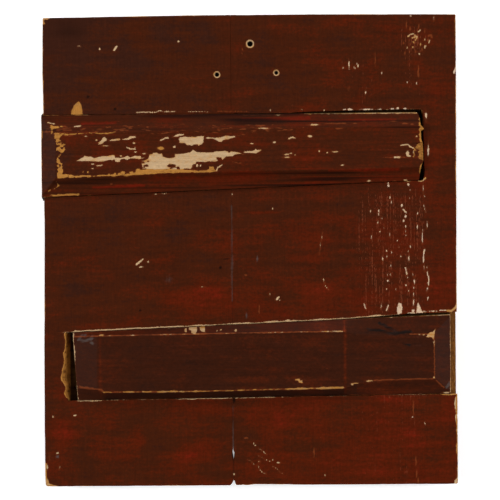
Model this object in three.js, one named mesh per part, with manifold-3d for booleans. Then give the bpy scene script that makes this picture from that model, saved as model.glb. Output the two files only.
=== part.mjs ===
// An icon panel lying on its painted face, so that the back of the board looks up.
// Two upright planks are joined edge to edge. Two battens, one driven in from each side edge, sit in
// dovetail channels across the back and keep the board flat. Each batten is wider at the end it enters by.
// Millimetres, +Z up, +Y towards the panel's top edge. The origin is under the middle of the board.
import * as THREE from "three";
import { mergeVertices } from "three/addons/utils/BufferGeometryUtils.js";
import Module from "manifold-3d";

const wasm = await Module();
wasm.setup();

// The board: 7 by 8 vershoks, an old measure of 44.45 mm, as many panels of this kind are.
const BOARD_WIDTH = 312.4;
const BOARD_HEIGHT = 355.6;
const BOARD_THICKNESS = 26;
const HALF_WIDTH = BOARD_WIDTH / 2;
const HALF_HEIGHT = BOARD_HEIGHT / 2;
const TOP_LEFT_DROP = 1.1; // the top edge was planed down towards its left corner
const TOP_CROWN = 0.5; // and stands up a little at the joint
const TOP_RIGHT_SPREAD = 0.4; // the right edge leans out a little towards the top
const LEFT_CORNER_RADIUS = 1.6; // corners of the outline are worn, the left ones more
const RIGHT_CORNER_RADIUS = 0.8;
const JOINT_X = -13.8; // where the two planks meet
const TOUCH_GAP = 0.3; // between faces that touch

// The painted side: a sunk field inside a raised border.
const FIELD_DEPTH = 1.8;
const FIELD_SLOPE = 5; // width of the slanted wall between border and field
const BORDER_SIDE = 30;
const BORDER_END = 38;

// The dovetail channels and the battens' feet that fill them.
const CHANNEL_DEPTH = 9;
const UNDERCUT = 2.3; // how far each long wall leans out between mouth and floor
const CHANNEL_FLOOR = BOARD_THICKNESS - CHANNEL_DEPTH;
const LEAN = UNDERCUT / CHANNEL_DEPTH;
const BEYOND = 1; // how far a cutting solid runs past the face it cuts
// Past opensFrom a channel's top wall leaves the batten's edge and heads for openTop at the channel's end.
const UPPER_CHANNEL = { end: 132.1, roundStart: 129.6, cornerDrop: 2.4, opensFrom: 30, openTop: 105.7 };
const LOWER_CHANNEL = { end: -138.3, chopLean: 4.2, opensFrom: 60, openTop: -47.9 };

// Screw holes of a lost hanging plate.
const SCREW_HOLE_DEPTH = 12;
const SCREW_RIM_DEPTH = 1.2;
const SCREW_HOLES = [
  { plank: "right", x: 0.9, y: 156.2, radius: 1.9, rimRadius: 3.2 },
  { plank: "left", x: -24.3, y: 133.1, radius: 1.5, rimRadius: 2.6 },
  { plank: "right", x: 20.6, y: 134.2, radius: 1.3, rimRadius: 2.4 },
];

// Damage that has a depth of its own.
const JOINT_NOTCH = { width: 4.6, height: 3.6, tipOffset: 0.8 };
const SPLINTER = { x: -130, halfWidth: 4.6, height: 10, depth: 1.0 };

// A straight line in plan through (x0, y0) and (x1, y1), as a function of x.
const line = (x0, y0, x1, y1) => (x) => y0 + ((y1 - y0) * (x - x0)) / (x1 - x0);

// The upper batten enters at the left edge and stands a little out of it.
const UPPER = {
  left: -157.3,
  right: 129,
  endDrop: 2.2, // the inner end's corners are cut back by this
  topEdge: line(-157.3, 103.1, 129, 103.4),
  bottomEdge: line(-157.3, 40.9, 129, 52.2),
};
// The lower batten enters at the right edge, stops short of it, and its thin end is cut askew.
const LOWER = {
  left: -132.8,
  right: 151,
  skew: 1.9, // how far the askew end's two corners lie from left
  topEdge: line(-134.7, -61.3, 151, -49.4),
  bottomEdge: line(-130.9, -112.5, 151, -109.2),
};

// Moulding of a batten's visible top, station by station along x. On each long side a facet rises from the
// edge to a ridge and another from there to the flat top. top and bottom hold how far in from their edge the
// ridge and the flat begin. height holds how high edge, ridge and flat stand above the board's back.
const UPPER_STATIONS = [
  { x: UPPER.left, top: [0.4, 0.8], bottom: [0.4, 0.8], height: [1.6, 1.75, 1.9] },
  { x: -146.3, top: [6.8, 14], bottom: [9.4, 13.6], height: [1.4, 2.9, 6] },
  { x: -80, top: [5.5, 13.8], bottom: [9.6, 13.8], height: [1.4, 2.9, 6] },
  { x: 0, top: [4, 12.4], bottom: [8.6, 12.4], height: [1.3, 2.8, 6] },
  { x: 70, top: [3.8, 11.2], bottom: [6.4, 10], height: [1.2, 2.7, 5.9] },
  { x: 126, top: [3.8, 10.6], bottom: [6.2, 9.6], height: [1.1, 2.6, 5.6] },
];
const LOWER_STATIONS = [
  { x: LOWER.left, top: [1.6, 3.2], bottom: [5, 9.9], height: [0.6, 1.4, 2.2] },
  { x: -115.8, top: [1.7, 3.3], bottom: [4.2, 8.3], height: [0.8, 3.3, 5.8] },
  { x: -111, top: [1.7, 3.4], bottom: [3.1, 6.1], height: [0.8, 3.4, 6] },
  { x: -40, top: [2.7, 5.3], bottom: [2.8, 5.5], height: [0.8, 3.4, 6] },
  { x: 70.6, top: [4.3, 8.6], bottom: [3.2, 6.3], height: [0.8, 3.4, 6] },
  { x: 80, top: [5.9, 11.8], bottom: [4.5, 9], height: [0.8, 3.3, 5.8] },
  { x: 108, top: [7.3, 14.6], bottom: [5.7, 11.4], height: [0.8, 3, 5.2] },
  { x: 139, top: [6.2, 12.4], bottom: [5.7, 11.4], height: [0.8, 2.7, 4.6] },
  { x: LOWER.right, top: [0.4, 0.8], bottom: [0.4, 0.8], height: [0.8, 0.95, 1.1] },
];

// The whole back was painted one dark red-brown. The lower batten's coat has darkened more.
const PAINTED_WOOD = { color: 0x4a1b0b, roughness: 0.5, metalness: 0 };
const DARK_PAINTED_WOOD = { color: 0x3a1a0f, roughness: 0.45, metalness: 0 };

// Turns a closed geometry into a solid: shared corners are merged and triangles with no area are dropped.
function solidOf(geometry) {
  const plain = geometry.index ? geometry.toNonIndexed() : geometry;
  const positions = new THREE.BufferGeometry().setAttribute("position", plain.getAttribute("position"));
  const merged = mergeVertices(positions, 1e-4);
  const kept = [];
  for (let i = 0; i < merged.index.count; i += 3) {
    const [a, b, c] = [0, 1, 2].map((k) => merged.index.getX(i + k));
    if (a !== b && b !== c && c !== a) kept.push(a, b, c);
  }
  const vertProperties = new Float32Array(merged.attributes.position.array);
  return new wasm.Manifold(new wasm.Mesh({ numProp: 3, vertProperties, triVerts: new Uint32Array(kept) }));
}

// A closed body through rings of corners. Each ring runs anticlockwise, seen from where the last ring lies.
function loft(rings) {
  const triangles = [];
  const centre = (ring) =>
    ring.reduce((sum, p) => sum.add(p), new THREE.Vector3()).divideScalar(ring.length);
  const next = (ring, j) => ring[(j + 1) % ring.length];
  rings.slice(1).forEach((ahead, i) => {
    const behind = rings[i];
    behind.forEach((corner, j) => {
      triangles.push(corner, next(behind, j), next(ahead, j));
      triangles.push(corner, next(ahead, j), ahead[j]);
    });
  });
  const first = rings[0];
  const last = rings[rings.length - 1];
  first.forEach((corner, j) => triangles.push(centre(first), next(first, j), corner));
  last.forEach((corner, j) => triangles.push(centre(last), corner, next(last, j)));
  return solidOf(new THREE.BufferGeometry().setFromPoints(triangles));
}

// A solid of an outline in plan, from height low to height high.
function prism(shape, low, high) {
  const settings = { depth: high - low, bevelEnabled: false, curveSegments: 6 };
  return solidOf(new THREE.ExtrudeGeometry(shape, settings).translate(0, 0, low));
}

// An outline with rounded corners. Each corner is { x, y, radius }, and radius 0 keeps it sharp.
function roundedOutline(corners) {
  const shape = new THREE.Shape();
  corners.forEach((corner, i) => {
    const here = new THREE.Vector2(corner.x, corner.y);
    const towards = (other) =>
      new THREE.Vector2(other.x, other.y).sub(here).setLength(corner.radius).add(here);
    const arrive = towards(corners[(i + corners.length - 1) % corners.length]);
    const leave = towards(corners[(i + 1) % corners.length]);
    if (i === 0) shape.moveTo(arrive.x, arrive.y);
    else shape.lineTo(arrive.x, arrive.y);
    if (corner.radius > 0) shape.quadraticCurveTo(here.x, here.y, leave.x, leave.y);
  });
  shape.closePath();
  return shape;
}

// A ring of a channel at x: a trapezoid, wider at its floor. endLean tips the ring along x, floor first.
function channelRing(x, mouthTop, mouthBottom, endLean = 0) {
  const above = BOARD_THICKNESS + BEYOND;
  const rise = above - CHANNEL_FLOOR;
  const corner = (mouth, outward, z) => {
    const spread = outward * LEAN * (BOARD_THICKNESS - z);
    return new THREE.Vector3(x - (endLean * (z - CHANNEL_FLOOR)) / rise, mouth + spread, z);
  };
  return [
    corner(mouthBottom, -1, CHANNEL_FLOOR),
    corner(mouthTop, 1, CHANNEL_FLOOR),
    corner(mouthTop, 1, above),
    corner(mouthBottom, -1, above),
  ];
}

// The upper channel runs in from the left edge. Its top wall opens away from the batten towards its end.
function upperChannel() {
  const { end, roundStart, cornerDrop, opensFrom, openTop } = UPPER_CHANNEL;
  const bottom = (x) => UPPER.bottomEdge(x) - TOUCH_GAP;
  const beside = (x) => UPPER.topEdge(x) + TOUCH_GAP;
  const openEnd = -HALF_WIDTH - BEYOND;
  return loft([
    channelRing(openEnd, beside(openEnd), bottom(openEnd)),
    channelRing(opensFrom, beside(opensFrom), bottom(opensFrom)),
    channelRing(roundStart, openTop, bottom(roundStart)),
    channelRing(end, openTop - cornerDrop, bottom(end) + cornerDrop / 2),
  ]);
}

// The lower channel runs in from the right edge and ends in a wall that was chopped aslant.
function lowerChannel() {
  const { end, chopLean, opensFrom, openTop } = LOWER_CHANNEL;
  const bottom = (x) => LOWER.bottomEdge(x) - TOUCH_GAP;
  const beside = (x) => LOWER.topEdge(x) + TOUCH_GAP;
  const openEnd = HALF_WIDTH + BEYOND;
  return loft([
    channelRing(end, beside(end), bottom(end), chopLean),
    channelRing(opensFrom, beside(opensFrom), bottom(opensFrom)),
    channelRing(openEnd, openTop, bottom(openEnd)),
  ]);
}

// A blind screw hole with a broken, widened rim.
function screwHole({ x, y, radius, rimRadius }) {
  const sides = 16;
  const shaftLength = SCREW_HOLE_DEPTH + BEYOND;
  const shaft = new THREE.CylinderGeometry(radius, radius, shaftLength, sides)
    .rotateX(Math.PI / 2)
    .translate(x, y, BOARD_THICKNESS + BEYOND - shaftLength / 2);
  const flare = (rimRadius - radius) / SCREW_RIM_DEPTH;
  const rim = new THREE.CylinderGeometry(rimRadius + flare * BEYOND, radius, SCREW_RIM_DEPTH + BEYOND, sides)
    .rotateX(Math.PI / 2)
    .translate(x, y, BOARD_THICKNESS + (BEYOND - SCREW_RIM_DEPTH) / 2);
  return solidOf(shaft).add(solidOf(rim));
}

// The sunk field of the painted side, with slanted walls, as a solid to cut away.
function sunkField() {
  const ring = (z) => {
    const inset = (FIELD_SLOPE * z) / FIELD_DEPTH;
    const halfX = HALF_WIDTH - BORDER_SIDE - inset;
    const halfY = HALF_HEIGHT - BORDER_END - inset;
    return [
      new THREE.Vector3(-halfX, -halfY, z),
      new THREE.Vector3(halfX, -halfY, z),
      new THREE.Vector3(halfX, halfY, z),
      new THREE.Vector3(-halfX, halfY, z),
    ];
  };
  return loft([ring(-BEYOND), ring(FIELD_DEPTH)]);
}

// A chip out of the board's bottom edge, astride the joint and right through the board.
function jointNotch() {
  const base = -HALF_HEIGHT - BEYOND;
  const shape = new THREE.Shape();
  shape.moveTo(JOINT_X - JOINT_NOTCH.width / 2, base);
  shape.lineTo(JOINT_X + JOINT_NOTCH.width / 2, base);
  shape.lineTo(JOINT_X + JOINT_NOTCH.tipOffset, -HALF_HEIGHT + JOINT_NOTCH.height);
  shape.closePath();
  return prism(shape, -BEYOND, BOARD_THICKNESS + BEYOND);
}

// A shallow arched splinter broken from the lip of the upper channel.
function splinter() {
  const shape = new THREE.Shape();
  const lip = UPPER.topEdge(SPLINTER.x) - BEYOND;
  shape.absellipse(SPLINTER.x, lip, SPLINTER.halfWidth, SPLINTER.height + BEYOND, 0, Math.PI, false);
  shape.closePath();
  return prism(shape, BOARD_THICKNESS - SPLINTER.depth, BOARD_THICKNESS + BEYOND);
}

// The plain outline of one plank, with its outer corners a little rounded.
function plankOutline(side) {
  const half = TOUCH_GAP / 2;
  if (side === "left")
    return roundedOutline([
      { x: -HALF_WIDTH, y: -HALF_HEIGHT, radius: LEFT_CORNER_RADIUS },
      { x: JOINT_X - half, y: -HALF_HEIGHT, radius: 0 },
      { x: JOINT_X - half, y: HALF_HEIGHT + TOP_CROWN, radius: 0 },
      { x: -HALF_WIDTH, y: HALF_HEIGHT - TOP_LEFT_DROP, radius: LEFT_CORNER_RADIUS },
    ]);
  return roundedOutline([
    { x: JOINT_X + half, y: -HALF_HEIGHT, radius: 0 },
    { x: HALF_WIDTH, y: -HALF_HEIGHT, radius: RIGHT_CORNER_RADIUS },
    { x: HALF_WIDTH + TOP_RIGHT_SPREAD, y: HALF_HEIGHT, radius: RIGHT_CORNER_RADIUS },
    { x: JOINT_X + half, y: HALF_HEIGHT + TOP_CROWN, radius: 0 },
  ]);
}

function plank(side) {
  const cutters = [upperChannel(), lowerChannel(), sunkField(), jointNotch()];
  SCREW_HOLES.filter((hole) => hole.plank === side).forEach((hole) => cutters.push(screwHole(hole)));
  if (side === "left") cutters.push(splinter());
  return cutters.reduce(
    (wood, cutter) => wood.subtract(cutter),
    prism(plankOutline(side), 0, BOARD_THICKNESS),
  );
}

// A batten's cross-section at one station: its dovetail foot below the back of the board, its moulding above.
// skew moves the section's two long edges opposite ways along x. narrow pulls both edges in.
function battenRing(batten, station, { skew = 0, narrow = 0 } = {}) {
  const { x, top, bottom, height } = station;
  const [edge, ridge, flat] = height.map((above) => BOARD_THICKNESS + above);
  const yTop = batten.topEdge(x) - narrow;
  const yBottom = batten.bottomEdge(x) + narrow;
  const middle = (yTop + yBottom) / 2;
  const halfBreadth = (yTop - yBottom) / 2;
  const sole = CHANNEL_FLOOR + TOUCH_GAP;
  const spread = LEAN * (BOARD_THICKNESS - sole);
  const corner = (y, z) => new THREE.Vector3(x - (skew * (y - middle)) / halfBreadth, y, z);
  return [
    corner(yBottom - spread, sole),
    corner(yTop + spread, sole),
    corner(yTop, BOARD_THICKNESS),
    corner(yTop, edge),
    corner(yTop - top[0], ridge),
    corner(yTop - top[1], flat),
    corner(yBottom + bottom[1], flat),
    corner(yBottom + bottom[0], ridge),
    corner(yBottom, edge),
    corner(yBottom, BOARD_THICKNESS),
  ];
}

function upperBatten() {
  const last = UPPER_STATIONS[UPPER_STATIONS.length - 1];
  return loft([
    ...UPPER_STATIONS.map((station) => battenRing(UPPER, station)),
    battenRing(UPPER, { ...last, x: UPPER.right }, { narrow: UPPER.endDrop }),
  ]);
}

function lowerBatten() {
  return loft(
    LOWER_STATIONS.map((station) =>
      battenRing(LOWER, station, { skew: station.x === LOWER.left ? LOWER.skew : 0 }),
    ),
  );
}

// A named mesh of a solid.
function meshOf(name, solid, finish) {
  const { numProp, vertProperties, triVerts } = solid.getMesh();
  const positions = [];
  for (let i = 0; i < vertProperties.length; i += numProp) positions.push(...vertProperties.slice(i, i + 3));
  const geometry = new THREE.BufferGeometry()
    .setAttribute("position", new THREE.Float32BufferAttribute(positions, 3))
    .setIndex(Array.from(triVerts));
  geometry.computeVertexNormals();
  const mesh = new THREE.Mesh(geometry, new THREE.MeshStandardMaterial(finish));
  mesh.name = name;
  return mesh;
}

const panel = new THREE.Group();
panel.name = "icon_panel";
panel.add(
  meshOf("left_plank", plank("left"), PAINTED_WOOD),
  meshOf("right_plank", plank("right"), PAINTED_WOOD),
  meshOf("upper_batten", upperBatten(), PAINTED_WOOD),
  meshOf("lower_batten", lowerBatten(), DARK_PAINTED_WOOD),
);

export default panel;
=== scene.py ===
# %% [markdown]
# # The back of an old icon panel
# Icon painters worked on planks of linden or pine, joined edge to edge. Two battens driven across the back
# in dovetailed channels stop the board from cupping. Here the panel lies on its painted face and the camera
# looks straight down on the back: dark red-brown paint, worn to pale wood where hands and shelves rubbed it.
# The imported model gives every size. Each of its four solids is stood for by a much finer surface.

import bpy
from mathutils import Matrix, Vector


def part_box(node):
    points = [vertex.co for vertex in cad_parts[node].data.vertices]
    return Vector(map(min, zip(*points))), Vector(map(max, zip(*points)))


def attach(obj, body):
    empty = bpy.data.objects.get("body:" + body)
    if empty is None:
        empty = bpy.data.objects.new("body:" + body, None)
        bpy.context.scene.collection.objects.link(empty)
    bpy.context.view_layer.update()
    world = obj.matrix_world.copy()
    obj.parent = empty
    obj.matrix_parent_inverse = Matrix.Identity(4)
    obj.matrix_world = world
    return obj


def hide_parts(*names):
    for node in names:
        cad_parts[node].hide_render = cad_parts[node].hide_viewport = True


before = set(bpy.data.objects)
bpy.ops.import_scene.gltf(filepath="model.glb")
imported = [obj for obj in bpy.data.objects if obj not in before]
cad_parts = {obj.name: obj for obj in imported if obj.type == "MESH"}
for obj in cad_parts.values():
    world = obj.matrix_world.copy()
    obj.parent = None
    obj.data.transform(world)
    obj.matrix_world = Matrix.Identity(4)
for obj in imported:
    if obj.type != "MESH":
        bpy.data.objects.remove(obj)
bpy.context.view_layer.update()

# %% The other modules, and the unit of length
import math
from types import SimpleNamespace

import bmesh
import bpy
import numpy as np
from mathutils import Vector

MM = 0.001  # sizes below are in millimetres, Blender's are in metres

# %% [markdown]
# ## Sizes taken from the solids
# The board's outline, its thickness, the joint and the battens' sole are read from the imported model. The
# battens' slanting edges are written in as the same straight lines as in the solids: each batten is wider at
# the end it was driven in by, which wedges it tight.

# %% Outline, joint and channels
SIDE_SWELL = 0.4  # the right side swells this far past its line towards the head
JOINT_CLOSING = 0.1  # each plank reaches this much further into the joint than its solid
GAP = 0.3  # between a batten and its channel
LEAN = 2.3 / 9  # the channels' long walls lean out by this much for each millimetre of depth


def box_mm(node):
    """Lowest and highest corner of a solid, in millimetres."""
    low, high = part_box(node)
    return np.array(low) / MM, np.array(high) / MM


left_low, left_high = box_mm("left_plank")
right_low, right_high = box_mm("right_plank")
LEFT, RIGHT = left_low[0], right_high[0] - SIDE_SWELL
FOOT, HEAD = left_low[1], left_high[1]
BACK = left_high[2]
JOINT_LEFT, JOINT_RIGHT = left_high[0] + JOINT_CLOSING, right_low[0] - JOINT_CLOSING
JOINT = (JOINT_LEFT + JOINT_RIGHT) / 2
SOLE = box_mm("upper_batten")[0][2]
FLOOR = SOLE - GAP
print(f"board {RIGHT - LEFT:.1f} x {HEAD - FOOT:.1f} x {BACK:.1f} mm, joint at x {JOINT:.1f}")


# %% The battens' edges in plan
def straight(x0, y0, x1, y1):
    """The line through two points in plan, as a function of x."""
    return lambda x: y0 + (y1 - y0) * (x - x0) / (x1 - x0)


upper_top, upper_bottom = straight(-157.3, 103.1, 129, 103.4), straight(-157.3, 40.9, 129, 52.2)
lower_top, lower_bottom = straight(-134.7, -61.3, 151, -49.4), straight(-130.9, -112.5, 151, -109.2)
for title, top, bottom in (("upper", upper_top, upper_bottom), ("lower", lower_top, lower_bottom)):
    left, right = (top(x) - bottom(x) for x in (-130, 125))
    print(f"{title} batten {left:.1f} mm wide on the left, {right:.1f} on the right")

# %% [markdown]
# ## Random hills
# Old wood is never quite straight or even. Every waver, chip and worn spot below starts from the same smooth
# random hills, drawn from a numbered seed, so the panel comes out the same on every run.

# %% Random hills
LATTICE = 128  # the hills repeat after this many


def hills(x, y, size_x, size_y, seed):
    """Hills from -1 to 1, about size_x by size_y each.
    Random heights stand on a lattice and are blended both ways by 3t^2 - 2t^3."""
    heights = np.random.default_rng(seed).uniform(-1, 1, (LATTICE, LATTICE))
    u, v = np.broadcast_arrays(x / size_x, y / size_y)
    i, j = np.floor(u).astype(int), np.floor(v).astype(int)
    s, t = u - i, v - j
    s, t = s * s * (3 - 2 * s), t * t * (3 - 2 * t)
    i0, i1, j0, j1 = i % LATTICE, (i + 1) % LATTICE, j % LATTICE, (j + 1) % LATTICE
    nearer = heights[i0, j0] * (1 - s) + heights[i1, j0] * s
    farther = heights[i0, j1] * (1 - s) + heights[i1, j1] * s
    return nearer * (1 - t) + farther * t


def ragged(x, y, size_x, size_y, seed):
    """Hills with two finer layers on top, each half as high as the one before."""
    layers = [hills(x, y, size_x / f, size_y / f, seed + k) / 2**k for k, f in enumerate((1, 2.1, 4.3))]
    return sum(layers) / 1.75


# %% Ramps and bells
def one_sided(values):
    """The part of the values above zero."""
    return np.maximum(values, 0)


def ramp(value, start, end):
    """0 up to start, 1 from end on and (value - start) / (end - start) between. end may be the smaller."""
    return np.clip((value - start) / (end - start), 0, 1)


def near(x, y, centre_x, centre_y, reach_x, reach_y):
    """1 at a place, falling to 0 round it as a bell: e^(-r^2), with r the distance in reaches."""
    return np.exp(-(((x - centre_x) / reach_x) ** 2) - ((y - centre_y) / reach_y) ** 2)


# %% [markdown]
# ## Grids that are fine where the shape is
# A surface is a grid of points, and its triangles are spent where they show: close together at edges and
# channel lips, wide apart between them. The step grows with the distance from the nearer end of a stretch.

# %% Graded steps
def graded(length, fine, coarse, growth=0.3):
    """0 to 1 over a stretch of that length. The step is fine at both ends and grows to coarse.
    The number of steps is the integral of 1/step, and the places are where that integral is whole."""
    s = np.linspace(0, 1, 4001)
    step = np.minimum(coarse, fine + growth * length * np.minimum(s, 1 - s))
    count = np.concatenate([[0], np.cumsum(length * np.diff(s) / ((step[1:] + step[:-1]) / 2))])
    return np.interp(np.linspace(0, count[-1], int(round(count[-1])) + 1), count, s)


def stepped(first, last, step):
    """0 to 1 in equal steps of about that many millimetres."""
    return np.linspace(0, 1, int(round((last - first) / step)) + 1)


def fillet(distance, radius):
    """How far a rounded edge has dropped at that distance from it: r - sqrt(r^2 - (r - d)^2)."""
    reach = np.clip(radius - distance, 0, radius)
    return radius - np.sqrt(np.maximum(radius**2 - reach**2, 0))


# %% [markdown]
# ## From grid to mesh
# Every piece here is a closed loop of points, the cross-section, carried along x. So one function makes them
# all: it joins neighbouring loops with quads and closes both ends with a flat face.

# %% A closed mesh of loops
SAME_PLACE, NO_EDGE = 0.002 * MM, 0.001 * MM  # points closer than this are merged, shorter edges go
SHARP = math.radians(38)  # an edge that bends more than this is shaded sharp


def loops_to_mesh(name, x, y, z):
    """A mesh of the points x, y, z, each an array of [places along the loop, loops along x].
    Place r of loop c joins r + 1 and c + 1, and the last place joins the first."""
    places, loops = x.shape
    points = np.stack([x, y, z], axis=2).reshape(-1, 3) * MM
    r, c = np.meshgrid(np.arange(places), np.arange(loops - 1), indexing="ij")
    ahead = (r + 1) % places
    corners = [r * loops + c, r * loops + c + 1, ahead * loops + c + 1, ahead * loops + c]
    quads = np.stack(corners, axis=2).reshape(-1, 4)
    first = np.arange(places) * loops
    faces = quads.tolist() + [first.tolist(), (first + loops - 1)[::-1].tolist()]
    mesh = bpy.data.meshes.new(name)
    mesh.from_pydata(points.tolist(), [], faces)
    return cleaned(mesh)


def cleaned(mesh):
    """Merges points that fell together, cuts the two end faces into triangles and shades the mesh smooth."""
    work = bmesh.new()
    work.from_mesh(mesh)
    bmesh.ops.remove_doubles(work, verts=work.verts, dist=SAME_PLACE)
    bmesh.ops.dissolve_degenerate(work, dist=NO_EDGE, edges=work.edges)
    ends = [face for face in work.faces if len(face.verts) > 4]
    bmesh.ops.triangulate(work, faces=ends, ngon_method="BEAUTY")
    for face in work.faces:
        face.smooth = True
    work.to_mesh(mesh)
    work.free()
    mesh.set_sharp_from_angle(angle=SHARP)
    return mesh


# %% Read a mesh's points, store numbers on them, make the object
def read_rows(items, key):
    """Three numbers for each point or face of a mesh, as three arrays."""
    flat = np.empty(len(items) * 3)
    items.foreach_get(key, flat)
    return flat.reshape(-1, 3).T


def keep(mesh, **values):
    """Stores numbers for each point of a mesh under their names, for its material to read."""
    for name, numbers in values.items():
        layer = mesh.attributes.new(name, "FLOAT", "POINT")
        layer.data.foreach_set("value", np.asarray(numbers, dtype=np.float32))


def add_piece(mesh, node, slot, *materials):
    """Makes the object of a mesh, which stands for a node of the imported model."""
    piece = bpy.data.objects.new(mesh.name, mesh)
    bpy.context.collection.objects.link(piece)
    for material in materials:
        mesh.materials.append(material)
    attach(piece, "root")
    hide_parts(node)
    triangles = sum(len(p.vertices) - 2 for p in mesh.polygons)
    print(f"{mesh.name}: {len(mesh.vertices)} points, {triangles} triangles")


# %% [markdown]
# ## The board's lines
# Six lines in plan carry both planks: the foot edge, the two lips of each channel, and the head edge.
# The lips are chipped away from the batten only, so nothing cuts into it. The foot edge has a notch at the
# joint that goes right through, and the head edge was planed down towards the left.

# %% Edges read off the photo
def traced(*places):
    """A line through given places, as a function of their first coordinate."""
    at, value = np.array(places, dtype=float).T
    return lambda t: np.interp(t, at, value)


# the notch at the joint goes right through the board, and the foot is planed away a little beside it
worn_foot = traced(
    (-160, -177.8), (-16.2, -177.8), (-15.4, -176.9), (-14.5, -175.9), (-13.9, -174.2), (-12.7, -174.0),
    (-12.1, -177.7), (-9.5, -177.6), (-7.2, -177.8), (-6.6, -177.2), (-5.6, -177.5), (-4.0, -177.8),
    (2, -177.1), (12, -177.2), (45, -177.7), (160, -177.8),
)
worn_head = traced((-156.3, 176.8), (-90, 177.6), (-37, 178.2), (54, 178.3), (114, 178.0), (156.8, 177.7))
left_side = traced(
    (-178, -156.1), (-135, -156.4), (-74, -156.3), (9, -155.5), (60, -155.8), (117, -156.0), (134, -156.4),
    (177, -156.1)
)
right_side = traced(
    (-178, 156.1), (-137, 156.2), (-99, 156.1), (-12, 156.1), (60, 156.4), (132, 156.6), (178, 156.6),
)
opened_lower = traced(
    (-160, -80), (60, -52.9), (96, -50.6), (112, -49.4), (120, -48.7), (148, -48.0), (156.2, -47.6),
)
opened_upper = traced((-160, 100), (30, 103.6), (45, 104.5), (70, 105.2), (100, 105.7), (129.6, 105.9))


# %% Edges of the board, with crumbs lost
def foot_edge(x):
    """The board's lower edge, with small crumbs lost."""
    return worn_foot(x) + 0.22 * one_sided(ragged(x, 0, 9, 1, 11))


def head_edge(x):
    """The board's upper edge, highest at the joint."""
    return worn_head(x) - 0.2 * one_sided(ragged(x, 0, 14, 1, 13))


def outer_left(y):
    """The left edge, a little hollow in the middle."""
    return left_side(y) + 0.2 * one_sided(ragged(y, 0, 13, 1, 71))


def outer_right(y):
    """The right edge, broken a little more below the lower channel."""
    crumbs = 0.15 + 0.35 * (y < -105)
    return right_side(y) - crumbs * one_sided(ragged(y, 0, 6, 1, 72))


# %% Lips of the channels
def lip_chips(x, seed, depth=0.35):
    """How far a channel's lip is broken back."""
    return depth * one_sided(ragged(x, 0, 5, 1, seed))


def lower_foot_lip(x):
    """A gap below the lower batten, and chipped."""
    return lower_bottom(x) - GAP - lip_chips(x, 21)


def lower_head_lip(x):
    """Beside the batten up to x = 60, then opening away from it."""
    return np.maximum(lower_top(x) + GAP, opened_lower(x)) + lip_chips(x, 22)


def upper_foot_lip(x):
    """A gap below the upper batten, rising in a soft corner at the channel's end."""
    corner = 1.6 * ramp(x, 129.8, 132.3) ** 2
    return upper_bottom(x) - GAP - lip_chips(x, 23, 0.25) + corner


def upper_head_lip(x):
    """Beside the batten up to x = 30, then opening to 2.3 mm, with a rounded corner at the end."""
    opened = np.maximum(upper_top(x) + GAP, opened_upper(x))
    corner = fillet(np.maximum(132.1 - x, 0), 3.4)
    return opened + lip_chips(x, 24) - corner


LIPS = [foot_edge, lower_foot_lip, lower_head_lip, upper_foot_lip, upper_head_lip, head_edge]

# %% [markdown]
# ## One plank
# Seen along x, a plank's cross-section is a long rectangle with two dovetailed channels cut into its back.
# Walking round it gives the loop: up the back, down into each channel and out again, over the head edge, down
# the painted front and back under the foot. A channel that stops inside the plank is a cut whose depth comes
# down to nothing there, so the same loop serves on both sides of its end wall.

# %% Strips of the back
STRIP_FINE, STRIP_COARSE = 0.22, 1.0  # steps from row to row, at a lip and away from it


def settle(columns, low, high, t):
    """Points that divide the stretch between two lines by t. Their x depends a little on y and their y on x,
    so both are worked out three times over, each from the other's last values."""
    t = t[:, None]
    y = low(np.zeros(1)) * (1 - t) + high(np.zeros(1)) * t
    for _ in range(3):
        x = columns(y)
        y = low(x) * (1 - t) + high(x) * t
    return x, y


def width_between(low, high):
    """The distance from one line to another in the middle of the board."""
    return float(high(np.zeros(1))[0] - low(np.zeros(1))[0])


def lip_radius(x, seed):
    """A lip's wear, sharp in places and crumbled in others."""
    return 0.15 + 0.45 * one_sided(ragged(x, seed, 7, 1, seed))


def strip_rows(columns, low, high, cut_low, cut_high):
    """A strip of the back between two lines. Its height falls by a fillet at a channel's lip."""
    x, y = settle(columns, low, high, graded(width_between(low, high), STRIP_FINE, STRIP_COARSE))
    z = np.full_like(x, BACK)
    for cut, distance, seed in ((cut_low, y - low(x), 31), (cut_high, high(x) - y, 32)):
        if cut is not None:
            z -= cut * fillet(distance, lip_radius(x, seed))
    return x, y, z


# %% Channels
WALL_STEPS = np.array([0, 0.06, 0.2, 0.45, 0.75, 1.0])  # down a long wall, from lip to floor
OPEN_FLOOR_STEP, PLAIN_FLOOR_STEP = 1.4, 5.0  # from row to row of a floor that shows, and of a hidden one


def channel_wall(columns, edge, outward, down, cut, seed):
    """A long wall: outward by its lean and down from the lip by the share down of the channel's depth."""
    x, y = settle(columns, edge, edge, down)
    down = down[:, None]
    radius = lip_radius(x, seed)
    y = y + outward * LEAN * (BACK - FLOOR) * cut * down
    return x, y, BACK - cut * (radius + (BACK - FLOOR - radius) * down)


def channel_rows(columns, low, high, cut, step):
    """One channel: a wall leaning out and down, the floor in rows a step apart, and the other wall up."""
    share = graded(width_between(low, high), min(step, 1.0), step)[1:-1]
    x, y = settle(columns, low, high, share)
    y = y + LEAN * (BACK - FLOOR) * cut * (2 * share[:, None] - 1)
    z = BACK - cut * (BACK - FLOOR + 0.3 * hills(x, y, 5, 14, 35))
    into = channel_wall(columns, low, -1, WALL_STEPS, cut, 32)
    out = channel_wall(columns, high, 1, WALL_STEPS[::-1], cut, 31)
    return [into, (x, y, z), out]


# %% The front and the narrow sides
BORDER_SIDE, BORDER_END, FIELD_DEPTH, FIELD_SLOPE = 30, 38, 1.8, 5
PEEP_FOOT, PEEP_HEAD = -158.6, -151.4  # a gaping spot in the joint, where light shows through
PEEP_ROWS = 9


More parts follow.
